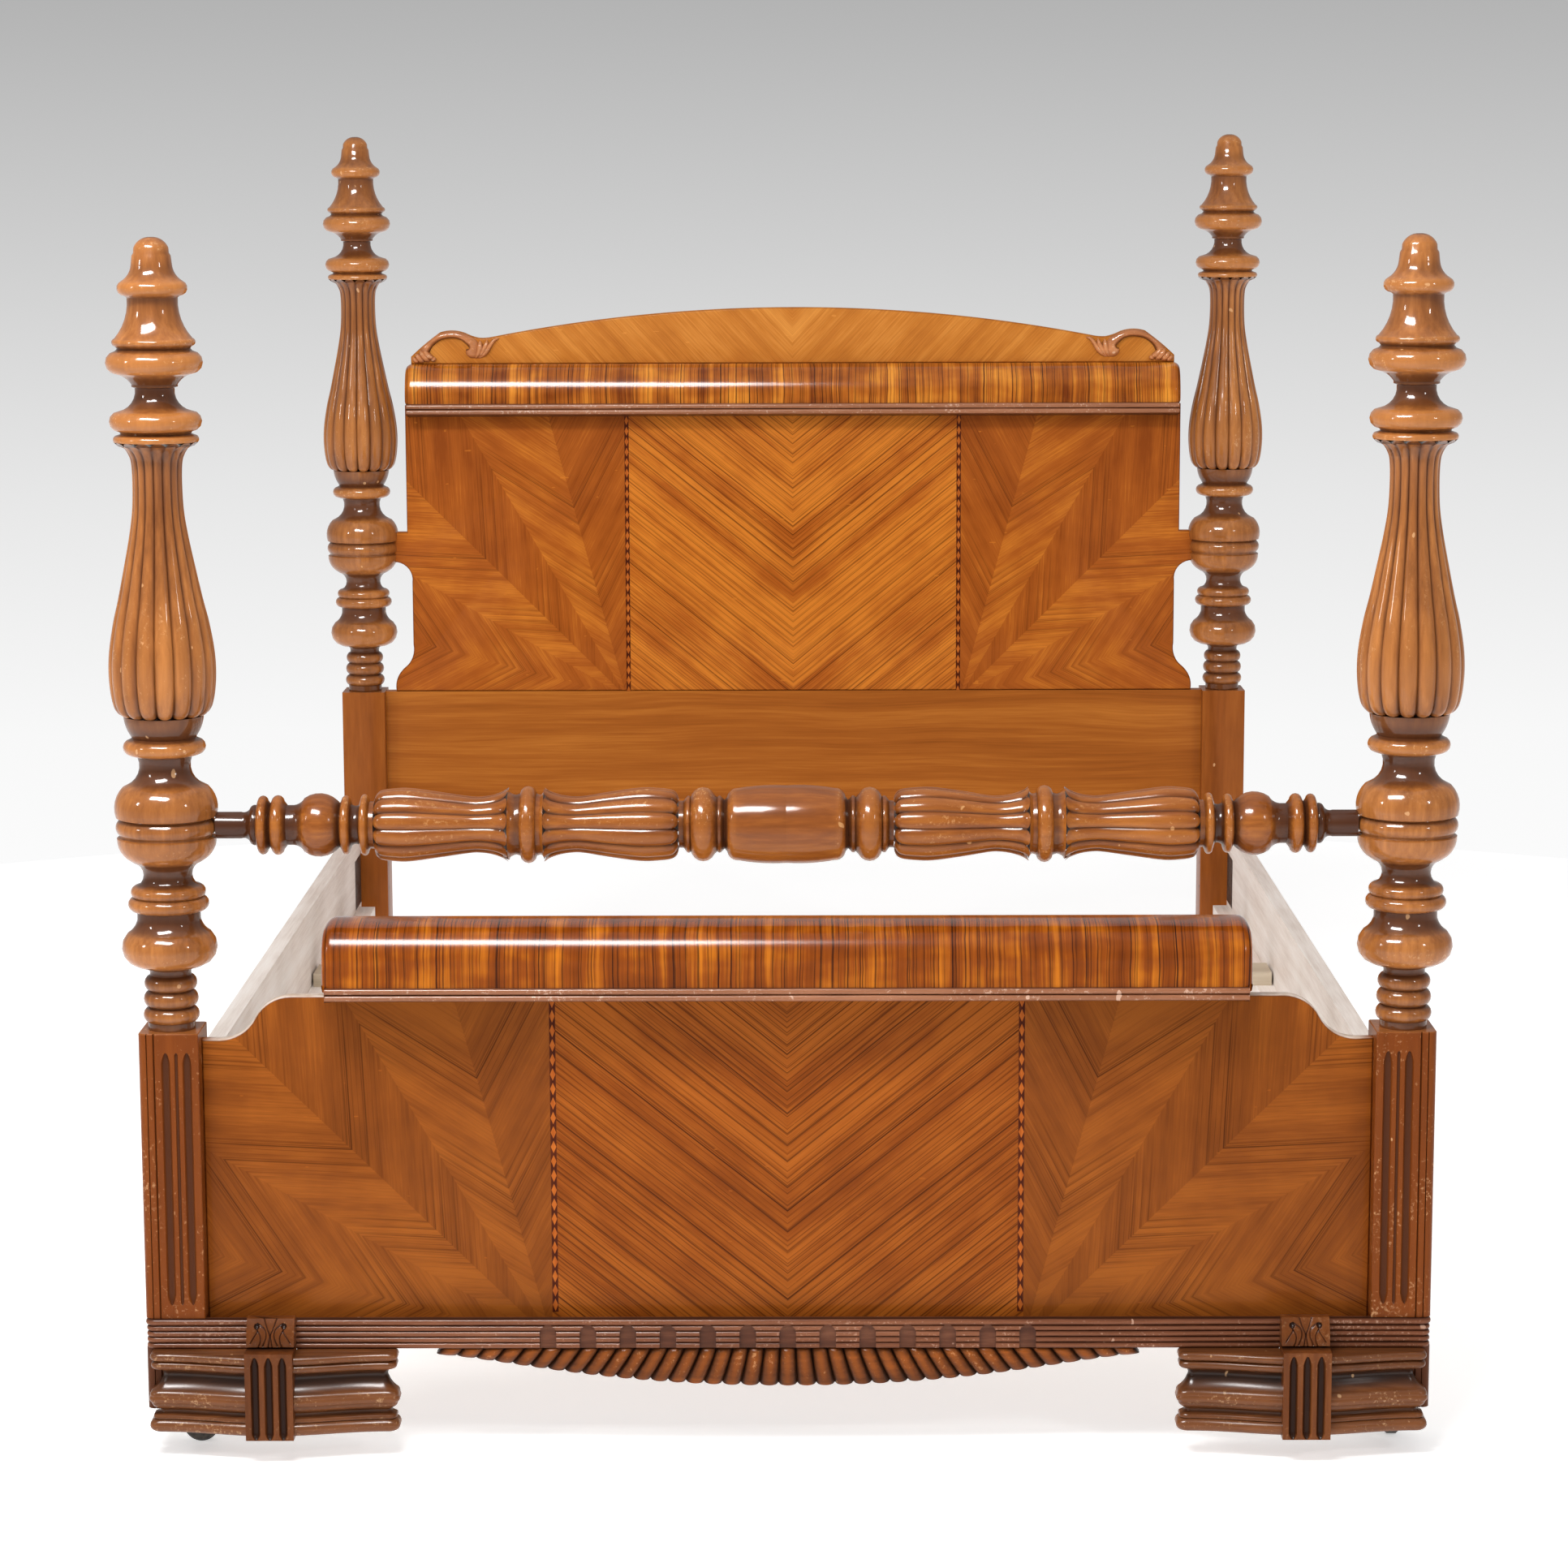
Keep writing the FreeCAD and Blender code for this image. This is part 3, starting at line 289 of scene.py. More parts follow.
blanket_end = [
    (0.0, 0.722, 0), (0.606, 0.722, 0), (0.606, 0.7301, 0), (0.7, 0.7333, 0), (0.7, 0.7453, 0.5),
    (0.513, 0.7492, 0), (0.559, 0.7636, -0.2), (0.664, 0.7652, 0), (0.664, 0.7795, 0.45),
    (0.559, 0.7827, 0), (0.629, 0.7875, 0), (0.699, 0.8449, 0.18), (0.513, 0.8688, -0.15),
    (0.513, 0.8752, 0), (0.629, 0.8816, 0), (0.629, 0.9023, 0.46), (0.559, 0.9055, 0),
    (0.653, 0.9102, 0), (0.653, 0.9262, 0.45), (0.513, 0.9294, 0), (0.443, 0.9405, 0.2),
    (0.343, 0.9565, -0.2), (0.343, 1.0, 0),
]

# Moulding of the bracket feet from the top down: relief share, height share, bulge
bracket_moulding = [
    (0.42, 1.0, 0), (0.36, 0.893, 0.40), (0.44, 0.887, 0), (0.42, 0.785, 0.38), (1.0, 0.70, -0.16),
    (0.92, 0.655, -0.1), (0.30, 0.525, -0.08), (0.05, 0.45, 0.15),
    (0.16, 0.365, 0.2), (0.50, 0.29, 0.15), (0.64, 0.28, 0), (0.64, 0.225, -0.2), (0.32, 0.205, 0),
    (0.26, 0.165, 0.1), (0.36, 0.155, 0), (0.28, 0.0, 0.32),
]

# Sections: share of the depth, share of the height, bulge
foot_roll_section = [
    (-0.46, 0.0, 0), (0.46, 0.0, 0), (0.5, 0.06, 0.2), (0.5, 0.42, 0), (0.26, 0.94, 0.17),
    (-0.26, 0.94, 0.055), (-0.5, 0.42, 0.17), (-0.5, 0.06, 0), (-0.46, 0.0, 0.2),
]
head_roll_curve = [(0.95, 0.0, 0), (0.28, 0.225, 0.133), (0.0, 0.77, 0.061)]
crest_edge = [
    (1.0, 0.0, 0), (1.0, 0.13, 0), (0.923, 0.567, 0.02), (0.858, 0.552, 0.083), (0.82, 0.464, -0.04),
    (0.79, 0.477, -0.03),
]
crest_crown = 0.048

# Carved lines of a plaque, from its middle outwards and up
plaque_lines = [
    [(0.007, 0.015), (0.0035, 0.005), (0.0, -0.003), (-0.002, -0.015)],
    [(0.015, 0.004), (0.011, -0.003), (0.011, -0.010), (0.013, -0.015)],
    [(0.014, 0.002), (0.019, -0.006), (0.022, -0.011)],
    [(0.014, 0.010), (0.006, 0.004), (0.0045, -0.004), (0.008, -0.014)],
]

# Arch and hook of one crest scroll, in millimetres from the crest's end and above the roll, for each station:
# inner foot, ridge and outer edge, height of the ridge, share of it that is left at the outer edge
scroll_arch = [
    (27.0, 11.0, 23.0, 14.0, 15.0, 15.5, 2.0, 0.2), (28.9, 14.9, 24.8, 20.6, 15.5, 22.4, 6.5, 0.3),
    (30.5, 19.8, 27.2, 27.2, 22.5, 30.0, 7.5, 0.45), (34.7, 27.2, 33.0, 34.0, 30.2, 36.6, 8.0, 0.5),
    (44.6, 35.5, 42.9, 40.6, 40.0, 44.4, 8.5, 0.5),
    (56.1, 39.6, 56.1, 44.1, 55.0, 50.0, 8.5, 0.5), (69.3, 40.1, 69.3, 44.4, 70.0, 50.9, 8.5, 0.5),
    (79.2, 37.1, 79.2, 42.1, 82.0, 48.2, 8.5, 0.5), (87.5, 30.5, 87.5, 37.5, 93.0, 43.2, 8.5, 0.45),
    (91.6, 26.0, 93.2, 32.5, 103.0, 37.5, 8.5, 0.2), (91.5, 24.8, 95.7, 28.1, 107.0, 30.0, 8.5, 0.05),
    (91.0, 24.0, 95.2, 24.5, 108.0, 21.0, 8.5, 0.0), (90.2, 23.4, 93.5, 22.0, 106.5, 12.8, 8.0, 0.0),
    (89.2, 23.0, 91.0, 20.3, 99.5, 8.8, 7.0, 0.0), (88.2, 22.8, 88.6, 19.6, 91.5, 11.0, 5.5, 0.0),
    (87.0, 22.4, 86.8, 20.4, 87.0, 15.0, 2.0, 0.0),
]
# Leaf strokes of the scroll: millimetres from the crest's end, above the roll, half width, height
scroll_leaves = [
    [(101.5, 8.6, 3.2, 5.0), (107.0, 18.0, 4.7, 8.8), (109.0, 28.0, 4.4, 8.6), (109.6, 37.0, 2.2, 5.0)],
    [(105.5, 8.8, 3.0, 4.6), (113.6, 20.0, 4.4, 8.0), (118.5, 29.5, 3.8, 7.6), (120.6, 38.0, 1.8, 4.4)],
    [(107.5, 8.6, 2.6, 4.2), (118.2, 18.8, 4.0, 7.0), (125.8, 30.0, 3.4, 6.5), (132.2, 37.4, 2.4, 5.0),
     (140.0, 39.6, 1.2, 3.0)],
    [(19.8, 24.6, 3.0, 7.0), (24.8, 16.4, 4.6, 8.6), (30.5, 11.4, 4.4, 8.0), (37.0, 9.6, 3.0, 5.5)],
    [(38.0, 10.6, 2.6, 5.0), (36.2, 7.4, 3.4, 6.4), (31.5, 5.4, 2.6, 5.0)],
    [(14.6, 21.6, 2.8, 6.6), (18.8, 14.8, 5.0, 8.4), (24.0, 8.8, 4.9, 7.8), (29.5, 3.4, 3.0, 5.0)],
    [(7.8, 16.2, 2.4, 6.4), (11.4, 11.6, 4.6, 8.0), (15.6, 6.8, 4.6, 7.6), (20.4, 2.8, 2.8, 5.0)],
    [(2.9, 10.6, 2.0, 5.5), (5.8, 7.8, 3.4, 7.0), (9.0, 4.6, 3.4, 6.6), (12.4, 2.2, 2.0, 4.5)],
]


def bulged(rows, steps=6):
    """Points along rows of (a, b, bulge): each bulged edge becomes an arc in equal steps."""
    points = [rows[0][:2]]
    for (a0, b0, _), (a1, b1, bulge) in zip(rows, rows[1:]):
        run_a, run_b = a1 - a0, b1 - b0
        chord = math.hypot(run_a, run_b)
        if not bulge or chord == 0:
            points.append((a1, b1))
            continue
        sweep = 4 * math.atan(2 * abs(bulge))
        radius = chord / 2 / math.sin(sweep / 2)
        side = math.copysign(1, bulge)
        na, nb = side * run_b / chord, -side * run_a / chord
        rise = abs(bulge) * chord - radius
        ca, cb = (a0 + a1) / 2 + na * rise, (b0 + b1) / 2 + nb * rise
        for i in range(1, steps + 1):
            swing = sweep * (i / steps - 0.5)
            ahead, out = radius * math.sin(swing), radius * math.cos(swing)
            points.append((ca + na * out + run_a / chord * ahead, cb + nb * out + run_b / chord * ahead))
    return points


def scaled(rows, a, b, shift=0.0):
    """Rows of shares as lengths."""
    return [(r * a, h * b + shift, bulge) for r, h, bulge in rows]


def smooth_rows(rows, steps):
    """Smooth curve through rows of numbers."""
    rows = np.array(rows, float)
    ends = np.vstack([2 * rows[0] - rows[1], rows, 2 * rows[-1] - rows[-2]])
    found = []
    for p0, p1, p2, p3 in zip(ends, ends[1:], ends[2:], ends[3:]):
        for t in np.arange(steps) / steps:
            found.append(0.5 * (2 * p1 + (p2 - p0) * t + (2 * p0 - 5 * p1 + 4 * p2 - p3) * t ** 2
                                + (3 * p1 - p0 - 3 * p2 + p3) * t ** 3))
    return np.array(found + [rows[-1]])


def inset(points, distance):
    """Closed outline moved inwards; the points run anticlockwise."""
    p = np.array(points, float)
    ahead = np.roll(p, -1, 0) - p
    length = np.maximum(np.linalg.norm(ahead, axis=1), 1e-9)
    normal = np.stack([-ahead[:, 1], ahead[:, 0]], 1) / length[:, None]
    both = normal + np.roll(normal, 1, 0)
    miter = both / np.maximum((both * both).sum(1), 0.5)[:, None] * 2
    return p + miter * distance


def enclosed(rings):
    """Six times the volume inside closed rings, negative where they run the other way round."""
    a, d = rings[:-1], rings[1:]
    b, c = np.roll(a, -1, 1), np.roll(d, -1, 1)
    sides = (a * (np.cross(b, c) + np.cross(c, d))).sum()
    first, last = (ring[0] @ np.cross(ring[1:-1], ring[2:]).sum(0) for ring in (rings[0], rings[-1]))
    return sides + last - first


class Shape:
    """Vertices, faces and shade of one piece, gathered from several lofts."""

    def __init__(self):
        self.points, self.faces, self.shade, self.bare = [], [], [], []

    def loft(self, rings, shade=0.0, bare=0.0):
        """Closed skin through rings of equal count; shade runs from -1 in recesses to 1 on edges."""
        rings = np.array(rings, float)
        m, n, _ = rings.shape
        first = len(self.points)
        self.points += rings.reshape(-1, 3).tolist()
        self.shade += np.broadcast_to(shade, (m, n)).ravel().tolist()
        self.bare += np.broadcast_to(bare, (m, n)).ravel().tolist()
        faces = [tuple(range(first + n - 1, first - 1, -1)), tuple(range(first + (m - 1) * n, first + m * n))]
        for i in range(m - 1):
            a, b = first + i * n, first + (i + 1) * n
            faces += [(a + j, a + (j + 1) % n, b + (j + 1) % n, b + j) for j in range(n)]
        self.faces += faces if enclosed(rings) > 0 else [f[::-1] for f in faces]
        return self

    def mirrored(self):
        """The same shape on the other side of the bed."""
        other = Shape()
        other.points = [(-x, y, z) for x, y, z in self.points]
        other.faces = [f[::-1] for f in self.faces]
        other.shade, other.bare = list(self.shade), list(self.bare)
        return other


def show(shape, node, material, sharp_angle=sharp):
    """Blender piece for a shape, in place of a CAD node."""
    mesh = bpy.data.meshes.new("look_" + node)
    mesh.from_pydata(shape.points, [], shape.faces)
    mesh.validate()
    for name, values in (("shade", shape.shade), ("bare", shape.bare)):
        mesh.attributes.new(name, "FLOAT", "POINT").data.foreach_set("value", np.array(values, np.float32))
    mesh.shade_smooth()
    mesh.set_sharp_from_angle(angle=math.radians(sharp_angle))
    mesh.materials.append(material)
    piece = bpy.data.objects.new("look_" + node, mesh)
    bpy.context.scene.collection.objects.link(piece)
    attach(piece, "bed")
    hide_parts(node)
    return piece


def show_pair(shape, stem, material, sharp_angle=sharp):
    """Right-hand piece and its mirror image."""
    show(shape, stem + "_right", material, sharp_angle)
    show(shape.mirrored(), stem + "_left", material, sharp_angle)


def recess_shade(points, reach):
    """Shade along a turned profile: how far each point stands out from its neighbours."""
    p = np.array(points, float)
    fine = np.linspace(p[0, 1], p[-1, 1], 1200)
    keep = np.maximum.accumulate(p[:, 1] + np.arange(len(p)) * 1e-9)
    radius = np.interp(fine, keep, p[:, 0])
    step = fine[1] - fine[0]
    kernel = np.exp(-0.5 * (np.arange(-300, 301) * step / reach) ** 2)
    wide = np.convolve(np.pad(radius, 300, "edge"), kernel / kernel.sum(), "valid")
    return np.clip((p[:, 0] - np.interp(p[:, 1], fine, wide)) / reach * 1.6, -1, 1)


def round_ring(radii, angles, heights):
    """Ring about Z; radii and heights are single values or one for each angle."""
    heights = np.broadcast_to(heights, angles.shape)
    return np.stack([radii * np.cos(angles), radii * np.sin(angles), heights], 1)


def ring_angles(count):
    """Angles of one ring, with whole segments in each reed."""
    n = count * reed_segments
    return np.arange(n) * 2 * math.pi / n


def turn(shape, rows, radius, length, count, darkening=((0.0, 0.0),)):
    """Adds a plain turning about Z; darkening is how its painted shade changes along it."""
    profile = bulged(scaled(rows, radius, length))
    angles = ring_angles(count)
    rings = [round_ring(max(r, tip_radius), angles, h) for r, h in profile]
    body = [(r if r > 0 else radius / 2, h) for r, h in profile]
    extra = np.interp([h / length for r, h in profile], *zip(*darkening))
    shape.loft(rings, np.clip(recess_shade(body, 0.2 * radius) + extra, -1, 1)[:, None])


def turn_reeded(shape, rows, radius, length, count):
    """Adds a reeded vase about Z whose reeds end in scallops."""
    profile = smooth_rows(rows, 5)
    angles = ring_angles(count)
    across = (np.arange(len(angles)) % reed_segments) / reed_segments
    lobe = (4 * across * (1 - across)) ** 0.6
    rings, shade = [], []
    low, high = profile[0, 1], profile[-1, 1]
    fade = reed_fade * (high - low)
    belly = max(r for r, h in profile)
    for r, h in profile:
        near_low, near_high = (max(0.0, 1 - gap / fade) for gap in (h - low, high - h))
        height = h * length + scallop * (1 - lobe) * (near_low ** 2 - near_high ** 2)
        rings.append(round_ring(r * radius * (1 - reed_depth * (1 - lobe)), angles, height))
        shade.append(-0.5 + 0.95 * lobe - 0.35 * max(near_low, near_high) - 0.7 * (1 - r / belly))
    shape.loft(rings, np.array(shade))


def moved(shape, x, y, z):
    """The same shape, shifted."""
    shape.points = [(p[0] + x, p[1] + y, p[2] + z) for p in shape.points]
    return shape


def turned_part():
    """Turned part of a post, standing at the origin."""
    shape = Shape()
    size = turned_radius, turned_length, post_reeds
    turn(shape, lower_turning, *size, lower_darkening)
    turn_reeded(shape, vase_rows, *size)
    turn(shape, finial_turning, *size)
    return shape


def upright(shape, plan, levels, shade=0.0):
    """Adds a straight prism from a plan outline, with one ring at each level."""
    shape.loft([[(x, y, z) for x, y in plan] for z in levels], shade)


def foot_square_plan(flute):
    """Plan of a right-hand foot post and its shade; flute is how open the flutes are, 0 to 1."""
    left, right = post_x - post_half, post_x + post_half
    front, back = foot_y - post_half, foot_y + post_half
    flat = right - corner_round - corner_bead - quirk_width
    middle = (left + flat) / 2
    points, shade = [(left, front + edge_ease), (left + edge_ease, front)], [0.4, 0.5]

    def hollow(x, half, depth, vee=False):
        for s in np.linspace(-1, 1, 9):
            curve = 1 - abs(s) if vee else math.sqrt(max(0, 1 - s * s))
            points.append((x + s * half, front + depth * curve))
            shade.append(0.35 - 1.35 * curve)

    wide, deep = flute_width / 2 * flute, flute_depth * math.sqrt(flute)
    quirk = min(1, 2 * flute)
    hollow(middle - flute_pitch / 2, wide, deep)
    hollow(middle, middle_quirk / 2 * quirk, quirk_depth * quirk)
    hollow(middle + flute_pitch / 2, wide, deep)
    hollow(flat, quirk_width / 2, quirk_depth, vee=True)
    hollow(flat + corner_bead + quirk_width, quirk_width / 2, quirk_depth, vee=True)
    for i in range(9):
        a = math.radians(90 * i / 8)
        points.append((right - corner_round * (1 - math.sin(a)), front + corner_round * (1 - math.cos(a))))
        shade.append(0.5)
    points += [(right, back - edge_ease), (right - edge_ease, back)]
    points += [(left + edge_ease, back), (left, back - edge_ease)]
    shade += [0.3] * 4
    return points, shade


def foot_post():
    """Right-hand foot post: turning, fluted square, and the lap behind the base rail."""
    shape = moved(turned_part(), post_x, foot_y, foot_square_top)
    ease = np.linspace(0, 1, 8)
    levels = [(base_top, 0.0)] + [(flute_low + flute_point * t, t) for t in ease]
    levels += [(flute_high - flute_point * t, t) for t in ease[::-1]]
    levels += [(foot_square_top - edge_ease, 0.0)]
    rings, shade = [], []
    for z, t in levels:
        plan, light = foot_square_plan(max(closed_flute, math.sqrt(t)))
        rings.append([(x, y, z) for x, y in plan])
        shade.append(light)
    centre = np.array([post_x, foot_y, foot_square_top])
    top = centre + (np.array(rings[-1]) - centre) * np.array([post_cap, post_cap, 0])
    rings.append(top.tolist())
    shade.append([0.5] * len(plan))
    shape.loft(rings, np.array(shade))
    left, right, back = post_x - post_half, post_x + post_half, foot_y + post_half
    lap = [(left, foot_panel_front), (right, foot_panel_front), (right, back), (left, back)]
    upright(shape, lap, [base_low, base_top])
    plan = foot_square_plan(closed_flute)[0]
    # Painted shadow: below the base rail the post is drawn in the darkest shade
    upright(shape, plan, [post_bottom, post_bottom + edge_ease, base_low], -1.0)
    return shape


def head_post():
    """Right-hand head post with a plain square."""
    shape = moved(turned_part(), post_x, head_y, head_square_top)
    flat = post_half - head_ease
    plan = []
    for sx, sy in ((-1, -1), (1, -1), (1, 1), (-1, 1)):
        for k in range(5):
            a = math.radians(90 * k / 4) + math.atan2(sy, sx) - math.pi / 4
            plan.append((post_x + sx * flat + head_ease * math.cos(a),
                         head_y + sy * flat + head_ease * math.sin(a)))
    top = head_square_top - head_ease
    upright(shape, plan, [post_bottom, post_bottom + head_ease, top, top + head_ease / 2])
    return shape


def blanket_rail():
    """Turned and reeded rail between the balls of the foot posts."""
    rail = Shape()
    size = blanket_radius, blanket_half, blanket_reeds
    turn(rail, blanket_middle, *size)
    turn_reeded(rail, blanket_inner_vase, *size)
    turn(rail, blanket_ring, *size)
    turn_reeded(rail, blanket_outer_vase, *size)
    turn(rail, blanket_end, *size, blanket_darkening)
    rail.points = [(z, y, -x) for x, y, z in rail.points]
    other = rail.mirrored()
    start = len(rail.points)
    rail.points += other.points
    rail.faces += [tuple(i + start for i in f) for f in other.faces]
    rail.shade += other.shade
    rail.bare += other.bare
    return moved(rail, 0, foot_y, blanket_z)


def board(edge, front, is_bare=None):
    """Flat board from its outline in (x, z), anticlockwise from the front, with eased edges."""
    rings = []
    for face, way, shares in ((front, 1, (0, 0.3, 0.7, 1)), (front + panel_thick, -1, (1, 0.5, 0))):
        for a in (share * math.pi / 2 for share in shares):
            line = inset(edge, board_edge * (1 - math.sin(a)))
            rings.append([(x, face + way * board_edge * (1 - math.cos(a)), z) for x, z in line])
    shade = np.array([0, 0.5, 0.5, 0.2, 0.2, 0.3, 0])[:, None]
    bare = [1.0 if is_bare and is_bare(x, z) else 0.0 for x, z in edge]
    return Shape().loft(rings, shade, np.outer([0, 0, 1, 1, 1, 1, 0], bare))


def both_halves(right, steps=8):
    """Whole outline from its right half, which runs upwards."""
    line = bulged(right, steps)
    return line + [(-x, z) for x, z in line[::-1]]


def footboard_panel():
    """Footboard between the posts, with ogee shoulders whose top edge is unfinished wood."""
    inner = post_x - post_half
    middle = (shoulder_start + shoulder_end) / 2
    rows = [(inner, base_low, 0), (inner, shoulder_low, 0), (shoulder_start, shoulder_low, 0),
            (middle, (shoulder_low + shoulder_high) / 2, -0.14), (shoulder_end, shoulder_high, 0.14),
            (foot_roll_half, shoulder_high, 0), (foot_roll_half, foot_roll_bottom, 0)]

    def is_bare(x, z):
        return z > shoulder_low - edge_ease and abs(x) < inner - bare_inset

    return board(both_halves(rows), foot_panel_front, is_bare)


def headboard_panel():
    """Headboard with flared foot, waist and ears into the balls of the posts."""
    flare_top = head_rail_top + head_flare_height
    ear_low = ear_z - ear_height / 2
    middle = (head_flare_half + head_waist_half) / 2
    rows = [(head_flare_half, head_rail_top, 0), (middle, (head_rail_top + flare_top) / 2, 0.14),
            (head_waist_half, flare_top, -0.14), (head_waist_half, ear_low - ear_curve, 0),
            (ear_end, ear_low, -0.207), (ear_end + ear_seat, ear_low, 0),
            (ear_end + ear_seat, ear_low + ear_height, 0), (head_panel_half, ear_low + ear_height, 0),
            (head_panel_half, head_roll_bottom, 0)]
    return board(both_halves(rows), head_panel_front)


def headboard_crest():
    """Arched board on the headboard roll."""
    rows = scaled(crest_edge, crest_half, crest_height, head_roll_top)
    crown_x, crown_z = rows[-1][:2]
    line = bulged(rows, 12)
    crown = bulged([(crown_x, crown_z, 0), (-crown_x, crown_z, crest_crown)], 48)
    return board(line + crown[1:-1] + [(-x, z) for x, z in line[::-1]], head_panel_front)


def along(section, half, end, shade=0.0):
    """Rail along X from a section in (y, z), anticlockwise seen from +X, with rounded ends."""
    ease = [math.cos(math.radians(90 * i / 6)) for i in range(7)]
    stations = [(-half + end * (1 - c), end * (1 - math.sqrt(1 - c * c))) for c in ease]
    stations += [(-x, d) for x, d in stations[::-1]]
    return Shape().loft([[(x, y, z) for y, z in inset(section, d)] for x, d in stations], shade)


def footboard_roll():
    """Rounded rail along the top of the footboard."""
    rows = [(foot_y + a * foot_roll_depth, foot_roll_bottom + b * foot_roll_height, bulge)
            for a, b, bulge in foot_roll_section]
    return along(bulged(rows, 12)[:-1], foot_roll_half, foot_roll_end)


def headboard_roll():
    """Rail along the top of the headboard, with a curved front."""
    front = head_panel_front - head_roll_stand
    back = head_panel_front + panel_thick + head_roll_back
    rows = [(front, head_roll_bottom, 0), (back, head_roll_bottom, 0), (back, head_roll_top, 0)]
    height = head_roll_top - head_roll_bottom
    rows += [(front + a * head_roll_stand, head_roll_top - b * height, bulge)
             for a, b, bulge in head_roll_curve]
    return along(bulged(rows, 14), head_roll_half, head_roll_end)


def double_bead(board_face, roll_face, low, top, bead_low, bead_top, half):
    """Moulding under a roll: two half-round beads at its face, on a neck that runs back to the board."""
    middle = (bead_low + bead_top) / 2
    tongue = roll_face + bead_tongue
    rows = [(board_face, top, 0), (tongue, top, 0), (tongue, bead_top, 0), (roll_face, bead_top, 0),
            (roll_face, middle, 0.5), (roll_face, bead_low, 0.5), (board_face, low, 0)]
    section = bulged(rows, 12)[::-1]
    across = [(z - bead_low) / (bead_top - bead_low) * 2 % 1 for y, z in section]
    shade = [-1 + 1.9 * (4 * a * (1 - a)) ** 0.6 if y < roll_face - touch else -0.6
             for a, (y, z) in zip(across, section)]
    return along(section, half, edge_ease, shade)


def base_section():
    """Section of the base rail: (depth behind its face, height), from the top down."""
    reed = (base_top - base_low - base_bead) / base_reeds
    rows = [(base_bead / 2, base_top, 0), (base_bead / 2, base_top - base_bead, 0.5)]
    for i in range(base_reeds):
        rows.append((base_bead / 2, base_top - base_bead - (i + 1) * reed, 0.42))
    return [(max(d, 0), z) for d, z in bulged(rows, 8)]


def upon_face(outline, *depths):
    """Rings of an outline in (x, z) at several depths along Y."""
    return [[(x, y, z) for x, z in outline] for y in depths]


def let_in_inlays(panel, x, front, low, high):
    """Cuts the grooves of two inlay strips into a board's face."""
    cutters = Shape()
    for side in (-1, 1):
        groove = [(side * x - inlay_half, low), (side * x + inlay_half, low),
                  (side * x + inlay_half, high), (side * x - inlay_half, high)]
        cutters.loft(upon_face(groove, front - overrun, front + inlay_depth))
    carve(panel, cutters)


def base_rail():
    """Reeded rail across the foot, wrapped round both corners, with a row of arched niches."""
    section = base_section()
    turn_x, turn_y = post_x + post_half - base_wrap, base_face + base_wrap
    path = [(turn_x, foot_panel_front, 0.0)] + [(turn_x, turn_y, math.radians(90 * i / 8)) for i in range(9)]
    path += [(-x, y, math.pi - a) for x, y, a in path[::-1]]
    rings = []
    for x, y, a in path:
        ring = [(x + (base_wrap - d) * math.cos(a), y - (base_wrap - d) * math.sin(a), z) for d, z in section]
        rings.append(ring + [(x, y, base_low), (x, y, base_top)])
    shape = Shape().loft(rings)
    rail = show(shape, "base_rail", reeded_walnut)
    cutters = Shape()
    half = niche_width / 2
    spring = base_low + niche_height - half
    for i in range(niche_count):
        x = (i - (niche_count - 1) / 2) * niche_pitch
        arch = [(x - half, base_low - overrun), (x + half, base_low - overrun)]
        arch += [(x + half * math.cos(a), spring + half * math.sin(a)) for a in np.linspace(0, math.pi, 17)]
        cutters.loft(upon_face(arch, base_face - overrun, base_face + niche_depth))
    carve(rail, cutters)
    floor_y = base_face + niche_depth - touch
    shade = [niche_shade if v.co.y > floor_y and abs(v.co.x) < turn_x else reed_shade(v.co.z)
             for v in rail.data.vertices]
    rail.data.attributes["shade"].data.foreach_set("value", np.array(shade, np.float32))


def reed_shade(z):
    """Shade of the base rail at a height: light on the crest of a reed, dark in a quirk."""
    below = base_top - base_bead - z
    across = below / ((base_top - base_low - base_bead) / base_reeds) % 1 if below > 0 else -below / base_bead
    return -1 + 1.6 * (4 * across * (1 - across)) ** 0.6


def carve(piece, cutters):
    """Cuts closed shapes out of a piece and keeps the result as its mesh."""
    mesh = bpy.data.meshes.new("cutters")
    mesh.from_pydata(cutters.points, [], cutters.faces)
    tool = bpy.data.objects.new("cutters", mesh)
    bpy.context.scene.collection.objects.link(tool)
    cut = piece.modifiers.new("cut", "BOOLEAN")
    cut.operation, cut.solver, cut.object = "DIFFERENCE", "EXACT", tool
    result = bpy.data.meshes.new_from_object(piece.evaluated_get(bpy.context.evaluated_depsgraph_get()))
    piece.modifiers.clear()
    piece.data = result
    result.set_sharp_from_angle(angle=math.radians(sharp))
    bpy.data.objects.remove(tool)


